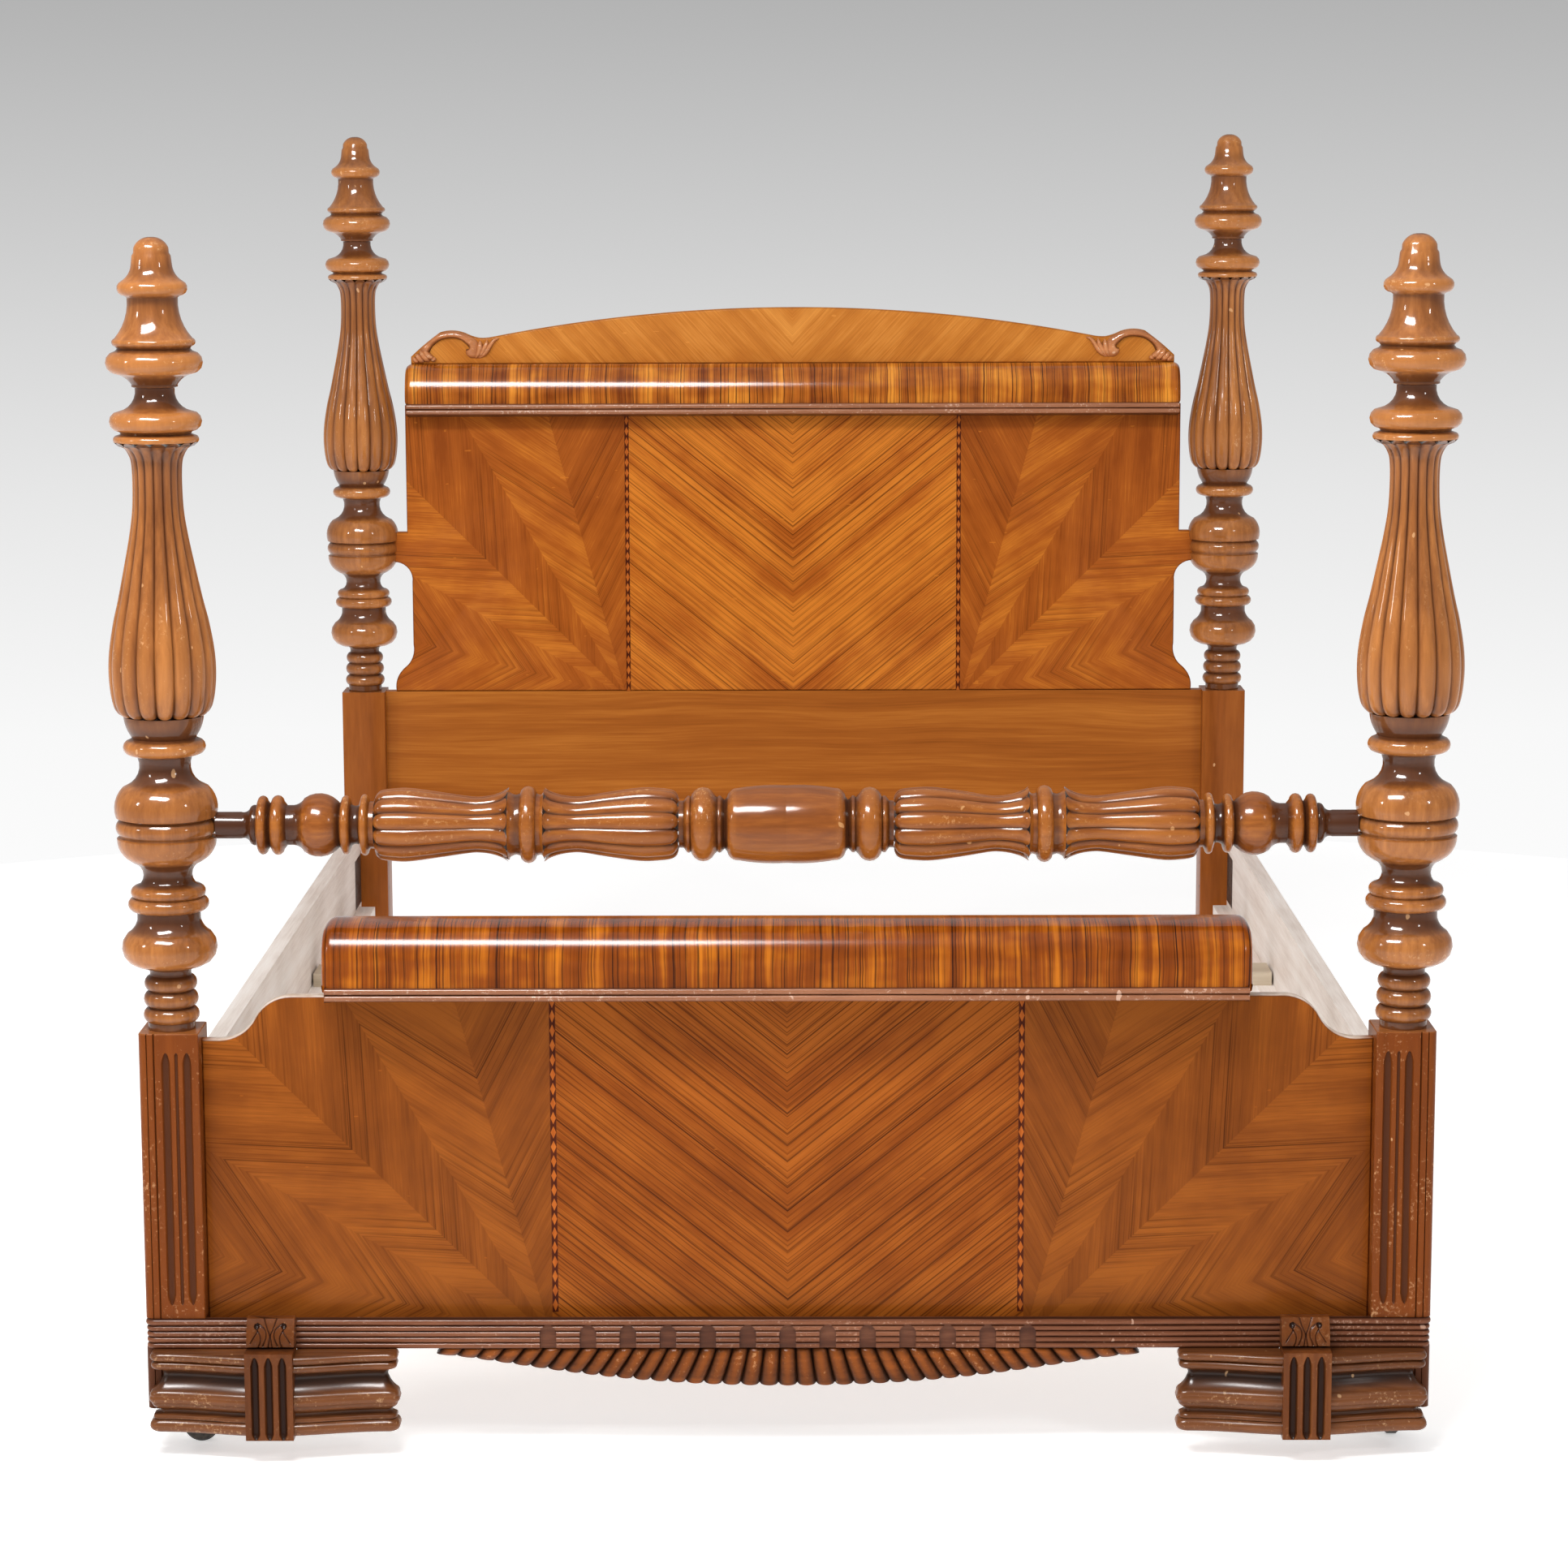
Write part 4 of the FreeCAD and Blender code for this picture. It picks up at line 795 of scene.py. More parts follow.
def apron():
    """Swag of gadroons that fan out downwards under the base rail."""
    rings, shade = [], []
    fall = np.linspace(0, 1, apron_rows)
    top = np.sqrt(np.clip(1 - (1 - np.minimum(fall / apron_lip, 1)) ** 2, 0, 1))
    for k in range(gadroon_count * gadroon_steps + 1):
        t = 2 * k / (gadroon_count * gadroon_steps) - 1
        mark = t * (1 + gadroon_taper * (1 - t * t))
        across = k % gadroon_steps / gadroon_steps
        lobe = (4 * across * (1 - across)) ** 0.55
        drop = apron_end_drop + (apron_drop - apron_end_drop) * (1 - mark * mark) ** apron_bow
        size = 0.8 + 0.2 * (1 - mark * mark)
        depth = gadroon_depth * size * lobe * (0.25 + 0.75 * top) * (1 - 0.45 * fall ** 2)
        y = foot_panel_front - apron_thick - depth + apron_tuck * fall ** 3 + apron_set_back * (1 - top)
        top_x = (apron_half - gadroon_lean * apron_end_drop) * mark
        x = top_x + gadroon_lean * math.tanh(top_x / gadroon_lean_reach) * drop * fall ** 1.1
        z = base_low - drop * fall * (0.94 + 0.06 * lobe)
        back = [(x[-1], foot_panel_front, z[-1]), (x[0], foot_panel_front, z[0])]
        rings.append(np.stack([x, y, z], 1).tolist() + back)
        light = -1 + 1.55 * lobe ** 1.6 - 0.5 * fall ** 3 - 0.8 * (1 - top)
        shade.append(np.clip(light, -1, 1).tolist() + [-1, -1])
    return Shape().loft(rings, np.array(shade))


def bracket_foot():
    """Right bracket foot: mouldings that sweep along a serpentine front, in two halves beside the key."""
    shape = Shape()
    height = base_low - bracket_low
    back = foot_y - post_half
    profile = bulged([(r * bracket_relief, bracket_low + h * height, b) for r, h, b in bracket_moulding], 7)
    relief = np.array([p[0] for p in profile])
    light = np.clip(0.6 - relief / bracket_relief * 1.35, -1, 0.6)
    arc = [math.radians(90 * i / 6) for i in range(7)]
    for way, outer in ((1, bracket_left), (-1, bracket_right)):
        rings = []
        for r, z in profile:
            start = outer + way * r
            end_y = back - bracket_end_stand + r
            key_y = back - bracket_key_stand + r
            ring = [(start, back)]
            ring += [(start + way * bracket_corner * (1 - math.cos(a)),
                      end_y + bracket_corner * (1 - math.sin(a))) for a in arc]
            first, last = start + way * bracket_corner, key_x - way * key_half
            for t in np.linspace(0, 1, 29)[1:]:
                x = first + (last - first) * t
                share = (x - first) / (key_x - first)
                ring.append((x, end_y + (key_y - end_y) * (0.5 - 0.5 * math.cos(math.pi * share))))
            ring.append((last, back))
            rings.append([(x, y, z) for x, y in ring])
        shape.loft(rings, light[:, None])
    return shape


def stroke_distance(x, z, points):
    """Distance from grid points to a smooth line."""
    line = smooth_rows(points, 8)
    far = np.full(x.shape, 9.0)
    for (x0, z0), (x1, z1) in zip(line, line[1:]):
        run = (x1 - x0) ** 2 + (z1 - z0) ** 2
        t = np.clip(((x - x0) * (x1 - x0) + (z - z0) * (z1 - z0)) / max(run, 1e-12), 0, 1)
        far = np.minimum(far, np.hypot(x - x0 - t * (x1 - x0), z - z0 - t * (z1 - z0)))
    return far


def bracket_key():
    """Right key: a block with three pointed flutes under a carved plaque."""
    face = foot_y - post_half
    across = np.linspace(-key_half, key_half, key_columns)
    gap_levels = [key_block_top + key_gap_edge, key_plaque_low - key_gap_edge]
    levels = np.concatenate([np.linspace(key_low, key_block_top, key_block_rows), gap_levels,
                             np.linspace(key_plaque_low, key_plaque_top, key_plaque_rows)])
    x, z = np.meshgrid(across, levels)
    stand = face - key_plaque_stand
    rise = np.clip((z - key_plaque_low) / (key_plaque_top - key_plaque_low), 0, 1)
    plaque_y = stand + key_plaque_slope * (2 * rise - 1) - key_plaque_bow * np.sin(math.pi * rise)
    block, plaque = z <= key_block_top, z >= key_plaque_low
    gap = ~(block | plaque)
    y = np.select([block, gap], [face - key_stand, stand + key_gap_depth], plaque_y)
    light = np.where(gap, -1.0, 0.25)
    top_left = (key_block_top - key_flute_room - z) / key_flute_top
    left = np.clip(np.minimum(top_left, (z - key_low) / key_flute_foot), 0, 1)
    fluted = block & (left > 0)
    for i in (-1, 0, 1):
        half = key_flute_half * np.sqrt(left) + 1e-6
        inside = np.clip(1 - ((x - i * key_flute_pitch) / half) ** 2, 0, 1)
        y = np.where(fluted, y + key_flute_depth * inside ** 0.45 * np.sqrt(left), y)
        light = np.where(fluted & (inside > 0), 0.3 - 1.3 * inside ** 0.4, light)
    for side in (-1, 1):
        u, v = side * x, z - (key_plaque_low + key_plaque_top) / 2
        for line in plaque_lines:
            near = np.clip(1 - stroke_distance(u, v, line) / stroke_half, 0, 1)
            y = np.where(plaque, y + stroke_depth * near, y)
            light = np.where(plaque & (near > 0), light - 1.1 * near, light)
        eye = np.clip(1 - np.hypot(u - eye_x, v - eye_z) / eye_radius, 0, 1)
        y = np.where(plaque, y + eye_depth * eye ** 0.4, y)
        light = np.where(plaque & (eye > 0), -1, light)
    back = face - key_back_stand
    rings, shade = [], []
    for level, row, row_light in zip(levels, y, light):
        ring = [(key_x + a, b, level) for a, b in zip(across, row)]
        rings.append(ring + [(key_x + key_half, back, level), (key_x - key_half, back, level)])
        shade.append(row_light.tolist() + [-0.3, -0.3])
    return Shape().loft(rings, np.clip(np.array(shade), -1, 1))


def crest_scroll():
    """Carved C-scroll with leaf ends on the right end of the crest."""
    shape = Shape()
    sunk = -0.4
    climb, fall = np.linspace(0, 1, 7), np.linspace(0, 1, 10)[1:]

    def across(foot, ridge, edge):
        return np.concatenate([[foot], foot + (ridge - foot) * climb, ridge + (edge - ridge) * fall, [edge]])

    def place(u, out, v):
        out = np.broadcast_to(out, u.shape)
        return np.stack([crest_half - u, head_panel_front - out, head_roll_top + v], 1)

    rings = []
    for foot_u, foot_v, ridge_u, ridge_v, edge_u, edge_v, rise, left in smooth_rows(scroll_arch, 6):
        dome = left + (1 - left) * (1 - fall ** 2.2) ** 0.6
        out = np.concatenate([[sunk], rise * np.sin(climb * math.pi / 2) ** 0.75, rise * dome, [sunk]])
        u, v = across(foot_u, ridge_u, edge_u), across(foot_v, ridge_v, edge_v)
        rings.append(place(u * millimetre, out * millimetre, v * millimetre))
    shape.loft(rings, np.concatenate([[-1], -1 + 1.4 * climb, 0.4 - 0.3 * fall, [-0.5]]))
    angles = np.linspace(0, math.pi, 13)
    for stroke in scroll_leaves:
        u, v, half, rise = (smooth_rows(stroke, 8) * millimetre).T
        ahead = np.stack([np.gradient(u), np.gradient(v)], 1)
        ahead /= np.linalg.norm(ahead, axis=1)[:, None]
        count = np.arange(len(u))
        taper = np.sqrt(np.clip(np.minimum(count, count[::-1]) / 5, 0.02, 1))
        rings = []
        for i in count:
            side = np.cos(angles) * half[i] * taper[i]
            out = np.sin(angles) ** 0.8 * rise[i] * taper[i]
            rings.append(place(u[i] + ahead[i, 1] * side, out, v[i] - ahead[i, 0] * side))
        shape.loft(rings, -0.9 + 1.5 * np.sin(angles) ** 0.7)
    return shape


def linear(red, green, blue):
    """Screen colour, 0 to 255, as the linear one that Blender takes."""
    shares = (c / 255 for c in (red, green, blue))
    return tuple(s / 12.92 if s <= 0.04 else ((s + 0.055) / 1.055) ** 2.4 for s in shares) + (1,)


class Value:
    """Output of a shader node that takes part in sums like a number."""

    def __init__(self, finish, socket):
        self.finish, self.socket = finish, socket

    def __add__(self, other):
        return self.finish.math("ADD", self, other)

    def __sub__(self, other):
        return self.finish.math("SUBTRACT", self, other)

    def __mul__(self, other):
        return self.finish.math("MULTIPLY", self, other)

    def __truediv__(self, other):
        return self.finish.math("DIVIDE", self, other)

    def __abs__(self):
        return self.finish.math("ABSOLUTE", self)


class Finish:
    """Nodes of one material; colours are screen colours, places are metres in the part's frame."""

    def __init__(self, name, roughness=0.3, coat=0.0, coat_roughness=0.1, specular=0.5):
        self.material = bpy.data.materials.new(name)
        self.material.use_nodes = True
        self.tree = self.material.node_tree
        self.shader = self.tree.nodes["Principled BSDF"]
        for socket, value in (("Roughness", roughness), ("Specular IOR Level", specular),
                              ("Coat Weight", coat), ("Coat Roughness", coat_roughness)):
            self.set(socket, value)
        split = self.node("ShaderNodeSeparateXYZ", self.output(self.node("ShaderNodeTexCoord"), "Object"))
        self.x, self.y, self.z = (self.output(split, k) for k in "XYZ")

    def node(self, kind, *values, **settings):
        """New node with its first inputs filled."""
        node = self.tree.nodes.new(kind)
        for key, value in settings.items():
            setattr(node, key, value)
        for socket, value in zip(node.inputs, values):
            self.put(socket, value)
        return node

    def output(self, node, name=0):
        return Value(self, node.outputs[name])

    def put(self, socket, value):
        """Links a value to a socket, or sets a number or a colour on it."""
        if isinstance(value, Value):
            self.tree.links.new(value.socket, socket)
        else:
            socket.default_value = linear(*value) if isinstance(value, tuple) else value

    def set(self, name, value):
        """Puts a value on the shader's own socket."""
        self.put(self.shader.inputs[name], value)

    def math(self, operation, *values):
        return self.output(self.node("ShaderNodeMath", *values, operation=operation))

    def noise(self, x, y, z, detail=2.0, roughness=0.5):
        place = self.output(self.node("ShaderNodeCombineXYZ", x, y, z))
        node = self.node("ShaderNodeTexNoise", place)
        for name, value in (("Scale", 1.0), ("Detail", detail), ("Roughness", roughness)):
            node.inputs[name].default_value = value
        return self.output(node, "Fac")

    def clouds(self, scale, detail=2.0, roughness=0.5):
        """Noise of one scale all ways."""
        return self.grain("", scale, scale, detail, roughness)

    def grain(self, axis, along_scale, across_scale, detail, roughness=0.5):
        """Noise drawn out along one axis."""
        scales = [along_scale if name == axis else across_scale for name in "xyz"]
        return self.noise(self.x * scales[0], self.y * scales[1], self.z * scales[2], detail, roughness)

    def step(self, value, start, end):
        """0 at start, 1 at end, smooth between."""
        return self.output(self.node("ShaderNodeMapRange", value, start, end, 0.0, 1.0,
                                     interpolation_type="SMOOTHSTEP"))

    def ramp(self, value, places, colours):
        node = self.node("ShaderNodeValToRGB", value)
        band = node.color_ramp.elements
        while len(band) < len(colours):
            band.new(0.5)
        for element, place, colour in zip(band, places, colours):
            element.position, element.color = place, linear(*colour)
        return self.output(node)

    def mix(self, share, a, b):
        node = self.node("ShaderNodeMix", data_type="RGBA")
        for name, value in (("Factor_Float", share), ("A_Color", a), ("B_Color", b)):
            self.put(next(s for s in node.inputs if s.identifier == name), value)
        return Value(self, next(s for s in node.outputs if s.identifier == "Result_Color"))

    def greater(self, a, b):
        return self.math("MAXIMUM", a, b)

    def attribute(self, name):
        return self.output(self.node("ShaderNodeAttribute", attribute_name=name), "Fac")

    def done(self, colour, rough, bump=None):
        """The material; rough is (value, low, high) and bump is (height, strength, distance)."""
        self.set("Base Color", colour)
        value, low, high = rough
        self.set("Roughness", self.output(self.node("ShaderNodeMapRange", value, 0.0, 1.0, low, high)))
        if bump:
            node = self.node("ShaderNodeBump")
            for name, amount in zip(("Height", "Strength", "Distance"), bump):
                self.put(node.inputs[name], amount)
            self.set("Normal", self.output(node))
        return self.material

    def grain_lines(self, across, run, pitch, half_width, seed, sway=1.0):
        """Thin dark lines at scattered places: 1 on a line, fainter on some lines and stretches."""
        drift = self.noise(across * (0.15 / pitch), run * 1.5, seed)
        cells = self.node("ShaderNodeTexVoronoi", voronoi_dimensions="1D")
        self.put(cells.inputs["W"], across * (1 / pitch) + drift * sway + 13.7 * seed)
        cells.inputs["Scale"].default_value = 1.0
        line = self.step(self.output(cells, "Distance"), half_width / pitch, 0.3 * half_width / pitch)
        pick = self.output(self.node("ShaderNodeSeparateColor", self.output(cells, "Color")))
        stretch = self.noise(across * (3 / pitch), run * 7.0, seed + 3.0)
        return line * (pick * 0.6 + 0.4) * self.step(stretch, 0.15, 0.45)


def stained(name, axis, tones, dirt_and_shade_colour, worn, turned=None, turned_above=0.0, coat=0.4, coat_roughness=0.1):
    """Turned or carved walnut: grain along one axis, dirt with painted shade in recesses, wear with painted
    highlights on what stands out.
    """
    f = Finish(name, coat=coat, coat_roughness=coat_roughness, specular=0.05)
    fine = f.grain(axis, 14.0, 150.0, 4.0, 0.62)
    broad = f.grain(axis, 2.2, 26.0, 3.0)
    level = fine * 0.45 + broad * 0.55
    places = 0.32, 0.5, 0.68
    pale = tones[-1]
    wood = f.ramp(level, places, tones)
    if turned:
        high = f.step(f.z, turned_above - stain_edge, turned_above + stain_edge)
        pale = f.mix(high, pale, turned[-1])
        wood = f.mix(high, wood, f.ramp(level, places, turned))
        f.set("Coat Weight", high * (coat - square_coat) + square_coat)
    shade = f.attribute("shade")
    specks = f.clouds(230, 3.0, 0.7)
    blotch = f.clouds(16)
    # Dirt with painted shade: where the shade attribute is low, in recesses, the wood is drawn towards the
    # dark recess colour
    dirt_and_shade = f.step(shade + blotch * 0.5, 0.38, -0.62)
    # Painted highlight with edge wear: where the shade attribute is high, on what stands out, the wood is
    # drawn in its pale tone
    edge = f.step(shade, 0.05, 0.7) * 0.55
    rubbed = f.step(specks * 0.7 + blotch * 0.3, 0.56, 0.68) * f.step(shade, 0.1, 0.5)
    chip = f.step(f.grain("z", 60, 95, 0.0), 0.845, 0.865)
    wood = f.mix(dirt_and_shade * 0.9, wood, dirt_and_shade_colour)
    wood = f.mix(edge, wood, pale)
    wood = f.mix(f.greater(rubbed, chip) * 0.6, wood, worn)
    return f.done(wood, (fine * 0.5 + dirt_and_shade * 0.5, 0.24, 0.5), (fine * 0.7 + specks * 0.3, 0.12, 0.0008))


def veneer(name, tones, line, fan_x, fan_z, chevron, contrast, centre_lift=0.0, side_brown=0.0, painted_light_steps=()):
    """Matched veneer: a chevron between the inlays and a six-leaf fan outside each of them."""
    f = Finish(name, coat=0.06, specular=0.03)
    leaf, lean, tilt = (math.radians(a) for a in (leaf_angle, leaf_lean, chevron))
    out = abs(f.x)
    u, v = out - fan_x, f.z - fan_z
    angle = f.math("ARCTAN2", u, v)
    folded = f.math("PINGPONG", angle, leaf)
    reach = f.math("SQRT", u * u + v * v)
    px, py = reach * f.math("SINE", folded), reach * f.math("COSINE", folded)
    side = f.math("GREATER_THAN", out, fan_x)
    middle = f.math("SUBTRACT", 1.0, side)
    fan_s, fan_t = px * math.cos(lean) + py * math.sin(lean), py * math.cos(lean) - px * math.sin(lean)
    vee_s, vee_t = f.z * math.cos(tilt) - out * math.sin(tilt), f.z * math.sin(tilt) + out * math.cos(tilt)
    s, t = side * fan_s + middle * vee_s, side * fan_t + middle * vee_t
    index = f.math("FLOOR", angle / leaf)
    odd = f.math("MODULO", index, 2.0)
    grain_way = (index + odd) * leaf + (odd * 2.0 - 1.0) * lean
    # Painted sheen: each fan leaf is drawn lighter or darker by the way its grain runs
    painted_sheen = f.math("COSINE", (grain_way - math.radians(sheen_angle)) * 2.0) * side
    bands = f.noise(s * 34, t * 0.8, side * 5.0, 3.0, 0.6)
    silk = f.noise(s * 520, t * 16, 3.0, 3.0, 0.6)
    mottle = f.noise(s * 16, t * 11, 8.0, 3.0)
    level = bands * 0.45 + silk * 0.30 + mottle * 0.25 + painted_sheen * 0.045 + middle * centre_lift
    # Painted light: the veneer is drawn lighter beyond given heights
    for start, end, light_step in painted_light_steps:
        level = level + f.step(f.z, start, end) * light_step
    wood = f.ramp(level, (0.36, 0.5, 0.64), tones)
    wood = f.mix(side * side_brown, wood, (110, 70, 32))
    thin = f.grain_lines(s, t, thin_pitch, thin_half, 1.0)
    bold = f.grain_lines(s, t, bold_pitch, bold_half, 2.0)
    few = f.step(f.noise(s * 11, t * 2, 4.0), 0.40, 0.60)
    both = f.greater(thin * 0.8, bold) * (middle + side * (few * 0.85))
    wood = f.mix(both * contrast, wood, line)
    nick = f.grain("z", 210, 70, 0.0)
    wood = f.mix(f.step(nick, 0.865, 0.88) * 0.5, wood, tones[-1])
    wood = f.mix(f.step(f.attribute("shade"), 0.1, 0.6) * 0.4, wood, line)
    pale = f.ramp(f.clouds(60, 3.0), (0.35, 0.65), ((196, 172, 150), (226, 212, 200)))
    wood = f.mix(f.attribute("bare"), wood, pale)
    return f.done(wood, (silk, 0.26, 0.40), (silk * 0.5 + both * -0.5, 0.06, 0.0005))


def striped(name, tones, line, pitch, coat_roughness, low, high):
    """Veneer with stripes that run round a rail lying along X, glossier towards its top."""
    f = Finish(name, coat=0.38, coat_roughness=coat_roughness, specular=0.03)
    height = (f.z - low) / (high - low)
    f.set("Coat Weight", f.step(height, 0.38, 0.58) * 0.22 + f.step(height, 0.86, 0.95) * 0.6 + 0.16)
    round_way = f.z + f.y * 0.7
    s = f.x + f.noise(f.x * 11, round_way * 13, 1.0) * 0.006
    bands = f.noise(s * 42, round_way * 0.8, 2.0, 3.0, 0.6)
    silk = f.noise(s * 420, round_way * 9, 3.0, 3.0)
    glow = f.noise(s * 13, round_way * 24, 6.0)
    wood = f.ramp(bands * 0.5 + silk * 0.22 + glow * 0.28, (0.37, 0.5, 0.62), tones)
    thin = f.grain_lines(s, round_way, pitch, stripe_half, 5.0, stripe_sway)
    bold = f.grain_lines(s, round_way, pitch * bold_stripe, bold_half, 6.0, stripe_sway)
    return f.done(f.mix(f.greater(thin * 0.85, bold) * 0.95, wood, line), (silk, 0.2, 0.3))


def bare_wood(name, axis, tones, roughness):
    """Unfinished board: long soft grain, fibres and handling marks."""
    f = Finish(name, roughness=roughness)
    rings = f.grain(axis, 1.3, 34.0, 4.0, 0.6)
    fibre = f.grain(axis, 16.0, 420.0, 3.0)
    marks = f.clouds(7, 3.0)
    wood = f.ramp(rings * 0.5 + fibre * 0.25 + marks * 0.25, (0.34, 0.5, 0.66), tones)
    return f.done(wood, (fibre, roughness - 0.08, roughness + 0.1), (fibre, 0.15, 0.0006))


def plain_veneer(name, tones):
    """Head rail: stained board with level grain."""
    f = Finish(name, coat=0.06, coat_roughness=0.12, specular=0.03)
    s = f.z + f.noise(f.x * 1.6, f.z * 5, 1.0) * 0.05
    bands = f.noise(f.x * 1.1, s * 46, 2.0, 4.0, 0.6)
    silk = f.noise(f.x * 12, s * 420, f.y * 60, 3.0)
    wood = f.ramp(bands * 0.7 + silk * 0.3, (0.34, 0.5, 0.66), tones)
    return f.done(wood, (silk, 0.26, 0.4), (silk, 0.06, 0.0005))


def inlay_chain(name, low):
    """Inlay strip: a chain of pale diamonds on a dark band."""
    f = Finish(name, coat=0.06, specular=0.03)
    foot = f.math("LESS_THAN", f.y, 0.0)
    centre = foot * (foot_inlay_x - head_inlay_x) + head_inlay_x
    across = abs(abs(f.x) - centre) / inlay_half
    turns = (f.z - low) / diamond_pitch
    along_strip = abs(f.math("FRACT", turns) - 0.5)
    diamond = f.step(along_strip * 2.0 + across, 0.92, 0.80)
    fibre = f.grain("x", 300, 60, 3.0)
    dark = f.ramp(fibre, (0.3, 0.7), ((62, 24, 12), (84, 36, 18)))
    pale = f.ramp(fibre, (0.3, 0.7), ((164, 80, 26), (192, 104, 38)))
    wood = f.mix(diamond * 0.95, dark, pale)
    return f.done(f.mix(f.step(across, 0.80, 0.9), wood, (96, 44, 18)), (fibre, 0.24, 0.36))


def worn_metal(name, base, rust, metallic, roughness):
    """Old iron or steel with tarnish and scuffs."""
    f = Finish(name, roughness=roughness)
    f.set("Metallic", metallic)
    spots = f.clouds(240, 4.0, 0.65)
    colour = f.mix(f.step(spots * 0.5 + f.clouds(40, 3.0) * 0.5, 0.45, 0.62), base, rust)
    return f.done(colour, (spots, roughness - 0.1, roughness + 0.2), (spots, 0.2, 0.0004))


def rubber(name):
    """Scuffed caster tyre."""
    f = Finish(name, roughness=0.6)
    dust = f.clouds(130, 4.0, 0.7)
    colour = f.ramp(dust, (0.35, 0.7), ((34, 31, 29), (92, 84, 76)))
    return f.done(colour, (dust, 0.5, 0.8), (dust, 0.25, 0.0005))


# Finishes: tones run from dark to pale, then come the colours of dirt and painted shade in recesses and of
# wear, or of the grain lines
foot_square_tones = (98, 46, 14), (115, 56, 18), (130, 67, 23)
head_square_tones = (125, 65, 23), (142, 77, 29), (158, 90, 36)
turned_tones = (122, 70, 32), (155, 94, 45), (190, 122, 63)
foot_walnut = stained(
    "foot_walnut", "z", foot_square_tones, (80, 43, 23), (222, 172, 122), turned_tones, foot_square_top,
    coat=0.62, coat_roughness=0.08)
head_walnut = stained(
    "head_walnut", "z", head_square_tones, (86, 47, 26), (222, 172, 122), turned_tones, head_square_top,
    coat=0.62, coat_roughness=0.08)
rail_walnut = stained(
    "rail_walnut", "x", ((105, 54, 20), (134, 73, 27), (168, 100, 40)), (60, 30, 15), (216, 162, 104),
    coat=0.5, coat_roughness=0.12)
bracket_walnut = stained(
    "bracket_walnut", "x", ((71, 39, 20), (97, 55, 28), (128, 77, 42)), (30, 17, 11), (206, 164, 120),
    coat_roughness=0.22)
apron_walnut = stained(
    "apron_walnut", "x", ((82, 43, 19), (108, 58, 26), (160, 85, 30)), (38, 23, 16), (206, 150, 100),
    coat=0.08)
key_walnut = stained(
    "key_walnut", "z", ((76, 39, 17), (100, 53, 23), (128, 74, 36)), (32, 16, 10), (206, 160, 116), coat=0.14)
scroll_walnut = stained(
    "scroll_walnut", "x", ((138, 80, 46), (172, 106, 62), (206, 138, 88)), (70, 36, 20), (236, 196, 160),
    coat=0.5)
reeded_walnut = stained(
    "reeded_walnut", "x", ((76, 41, 25), (100, 56, 35), (138, 87, 60)), (36, 18, 12), (200, 160, 136),
    coat=0.22)
bead_walnut = stained(
    "bead_walnut", "x", ((94, 52, 31), (122, 72, 44), (164, 108, 76)), (36, 17, 10), (226, 190, 166),
    coat=0.5, coat_roughness=0.12)
foot_veneer = veneer(
    "foot_veneer", ((110, 51, 14), (138, 69, 20), (168, 91, 29)), (54, 22, 7),
    fan_x=foot_inlay_x + inlay_half, fan_z=base_low, chevron=39, contrast=0.92, centre_lift=0.02,
    side_brown=0.25, painted_light_steps=((0.40, 0.52, 0.10), (0.28, 0.16, 0.05)))
head_veneer = veneer(
    "head_veneer", ((138, 66, 19), (166, 86, 27), (204, 120, 40)), (74, 31, 9),
    fan_x=head_inlay_x + inlay_half, fan_z=head_rail_top - fan_drop, chevron=39, contrast=0.8,
    centre_lift=0.09, side_brown=0.08)
crest_veneer = veneer(
    "crest_veneer", ((160, 90, 30), (190, 116, 44), (214, 142, 64)), (120, 60, 20), fan_x=no_fan,
    fan_z=head_roll_top, chevron=47, contrast=0.16)
foot_stripes = striped(
    "foot_stripes", ((100, 43, 6), (138, 66, 12), (196, 112, 24)), (32, 11, 3), pitch=0.0085,
    coat_roughness=0.16, low=foot_roll_bottom, high=foot_roll_bottom + foot_roll_height)
head_stripes = striped(
    "head_stripes", ((114, 52, 15), (172, 94, 28), (222, 142, 48)), (48, 19, 7), pitch=0.0078,
    coat_roughness=0.1, low=head_roll_bottom, high=head_roll_top)

# Finishes of the CAD nodes that keep their own shape, by slot
rail_tones = (206, 190, 178), (229, 218, 209), (241, 235, 229)
slat_tones = (160, 145, 122), (186, 171, 148), (206, 193, 172)
kept_finishes = {
    "plain_walnut": plain_veneer("level_walnut", ((138, 74, 26), (157, 88, 32), (178, 107, 42))),
    "bare_rail_wood": bare_wood("rail_timber", "y", rail_tones, roughness=0.55),
    "bare_slat_wood": bare_wood("slat_timber", "x", slat_tones, roughness=0.6),
    "inlay": inlay_chain("diamond_inlay", base_top),
    "hook_steel": worn_metal("hook_steel", (96, 94, 92), (66, 48, 38), metallic=0.9, roughness=0.42),
    "caster_iron": worn_metal("caster_iron", (70, 68, 66), (48, 38, 32), metallic=0.85, roughness=0.45),
    "caster_rubber": rubber("caster_rubber"),
}
for entry in frame["record"]["subparts"]:
    if entry["material_slot"] in kept_finishes:
        mesh = frame["nodes"][entry["node"]].data
        mesh.materials.clear()
        mesh.materials.append(kept_finishes[entry["material_slot"]])

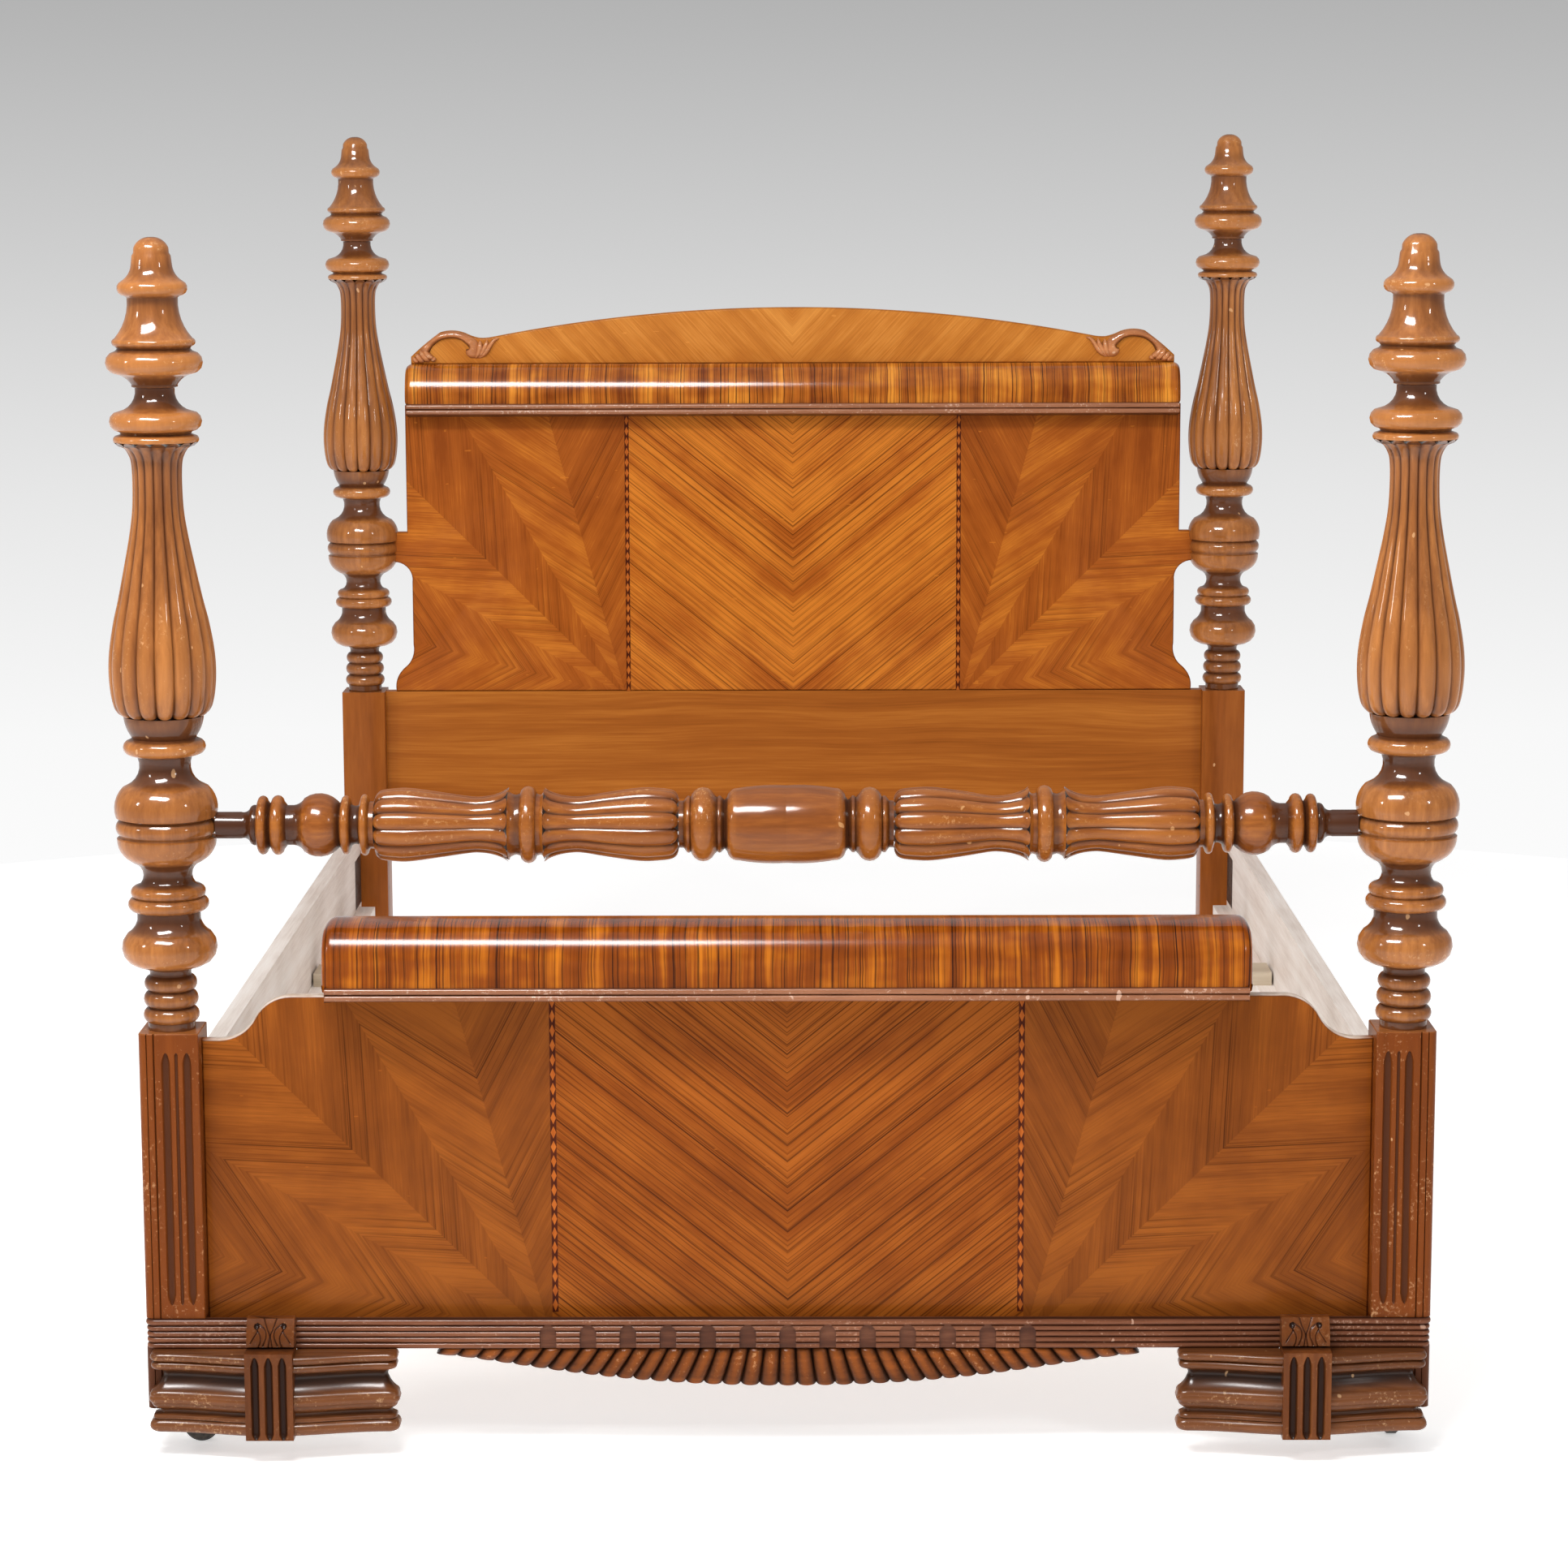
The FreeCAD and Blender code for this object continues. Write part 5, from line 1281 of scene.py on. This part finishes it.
show_pair(foot_post(), "foot_post", foot_walnut)
show_pair(head_post(), "head_post", head_walnut)
show(blanket_rail(), "blanket_rail", rail_walnut)
panel = show(footboard_panel(), "footboard_panel", foot_veneer, board_sharp)
let_in_inlays(panel, foot_inlay_x, foot_panel_front, base_top, foot_roll_bottom - foot_bead_height)
panel = show(headboard_panel(), "headboard_panel", head_veneer, board_sharp)
let_in_inlays(panel, head_inlay_x, head_panel_front, head_rail_top, head_roll_bottom - head_bead_height)
show(headboard_crest(), "headboard_crest", crest_veneer, board_sharp)
show(footboard_roll(), "footboard_roll", foot_stripes, board_sharp)
show(headboard_roll(), "headboard_roll", head_stripes, board_sharp)
show(double_bead(foot_panel_front, foot_y - foot_roll_depth / 2, foot_roll_bottom - foot_bead_height,
                 foot_roll_bottom, foot_bead_low, foot_bead_top, foot_bead_half),
     "footboard_bead", bead_walnut)
show(double_bead(head_panel_front, head_panel_front - head_roll_stand, head_roll_bottom - head_bead_height,
                 head_roll_bottom, head_bead_low, head_bead_top, head_bead_half),
     "headboard_bead", bead_walnut)
base_rail()
show(apron(), "apron", apron_walnut, apron_sharp)
show_pair(bracket_foot(), "bracket_foot", bracket_walnut)
show_pair(bracket_key(), "bracket_key", key_walnut, key_sharp)
show_pair(crest_scroll(), "crest_scroll", scroll_walnut, board_sharp)


def floor():
    """Wide round floor, as pale as the light around it."""
    f = Finish("studio_floor", roughness=0.7)
    cloud = f.noise(f.x * 2, f.y * 2, 0.0)
    f.set("Base Color", f.ramp(cloud, (0.3, 0.7), ((246, 246, 246), (250, 250, 250))))
    f.set("Emission Color", (255, 255, 255))
    f.set("Emission Strength", floor_glow)
    mesh = bpy.data.meshes.new("floor")
    angles = np.linspace(0, 2 * math.pi, floor_segments + 1)[:-1]
    mesh.from_pydata(round_ring(floor_radius, angles, 0.0).tolist(), [], [tuple(range(floor_segments))])
    mesh.materials.append(f.material)
    ground = bpy.data.objects.new("floor", mesh)
    bpy.context.scene.collection.objects.link(ground)


def studio_world():
    """Soft grey surroundings that whiten towards the floor and overhead."""
    world = bpy.data.worlds.new("studio")
    world.use_nodes = True
    bpy.context.scene.world = world
    tree = world.node_tree
    height = tree.nodes.new("ShaderNodeSeparateXYZ")
    tree.links.new(tree.nodes.new("ShaderNodeTexCoord").outputs["Generated"], height.inputs[0])
    shift = tree.nodes.new("ShaderNodeMapRange")
    tree.links.new(height.outputs["Z"], shift.inputs["Value"])
    shift.inputs["From Min"].default_value = -1
    band = tree.nodes.new("ShaderNodeValToRGB")
    tree.links.new(shift.outputs[0], band.inputs[0])
    elements = band.color_ramp.elements
    while len(elements) < len(sky_stops):
        elements.new(0.5)
    for element, (place, level) in zip(elements, sky_stops):
        element.position, element.color = place, (level, level, level, 1)
    tree.links.new(band.outputs[0], tree.nodes["Background"].inputs[0])
    tree.nodes["Background"].inputs[1].default_value = 1.0


def lamp(name, place, target, width, height, power, only_gloss=False):
    """Rectangular soft light aimed at a point."""
    light = bpy.data.lights.new(name, "AREA")
    light.shape, light.size, light.size_y, light.energy = "RECTANGLE", width, height, power
    thing = bpy.data.objects.new(name, light)
    bpy.context.scene.collection.objects.link(thing)
    thing.visible_diffuse = not only_gloss
    thing.location = place
    thing.rotation_euler = (Vector(target) - Vector(place)).to_track_quat("-Z", "Y").to_euler()


def camera():
    """Camera at the place and angle worked out from the photograph."""
    yaw, pitch, roll = (math.radians(a) for a in camera_angles)
    ahead = Vector((-math.sin(yaw) * math.cos(pitch), math.cos(yaw) * math.cos(pitch), -math.sin(pitch)))
    right = Vector((math.cos(yaw), math.sin(yaw), 0))
    above = right.cross(ahead)
    across = math.cos(roll) * right + math.sin(roll) * above
    upright_way = math.cos(roll) * above - math.sin(roll) * right
    lens = bpy.data.cameras.new("camera")
    lens.sensor_width = sensor_width
    lens.lens = sensor_width * focal_pixels / photo_width
    eye = bpy.data.objects.new("camera", lens)
    bpy.context.scene.collection.objects.link(eye)
    turned = Matrix((across, upright_way, -ahead)).transposed().to_4x4()
    eye.matrix_world = Matrix.Translation(camera_place) @ turned
    bpy.context.scene.camera = eye


floor()
studio_world()
camera()
lamp("strip", (-0.9, -2.6, 3.3), (-0.3, -0.9, 0.6), 1.9, 0.5, 84)
lamp("shine", (-1.1, -2.62, 3.32), (-0.4, -0.9, 0.6), 1.9, 0.9, 230, only_gloss=True)
lamp("left_box", (-3.8, -2.6, 2.4), (0, -0.8, 0.7), 0.35, 0.6, 30)
lamp("right_box", (3.2, -3.6, 2.6), (0, -0.8, 0.7), 0.3, 0.55, 24)
lamp("overhead", (0, -0.4, 4.6), (0, 0, 0), 5.0, 5.0, 30)
bpy.context.scene.view_settings.view_transform = "Standard"
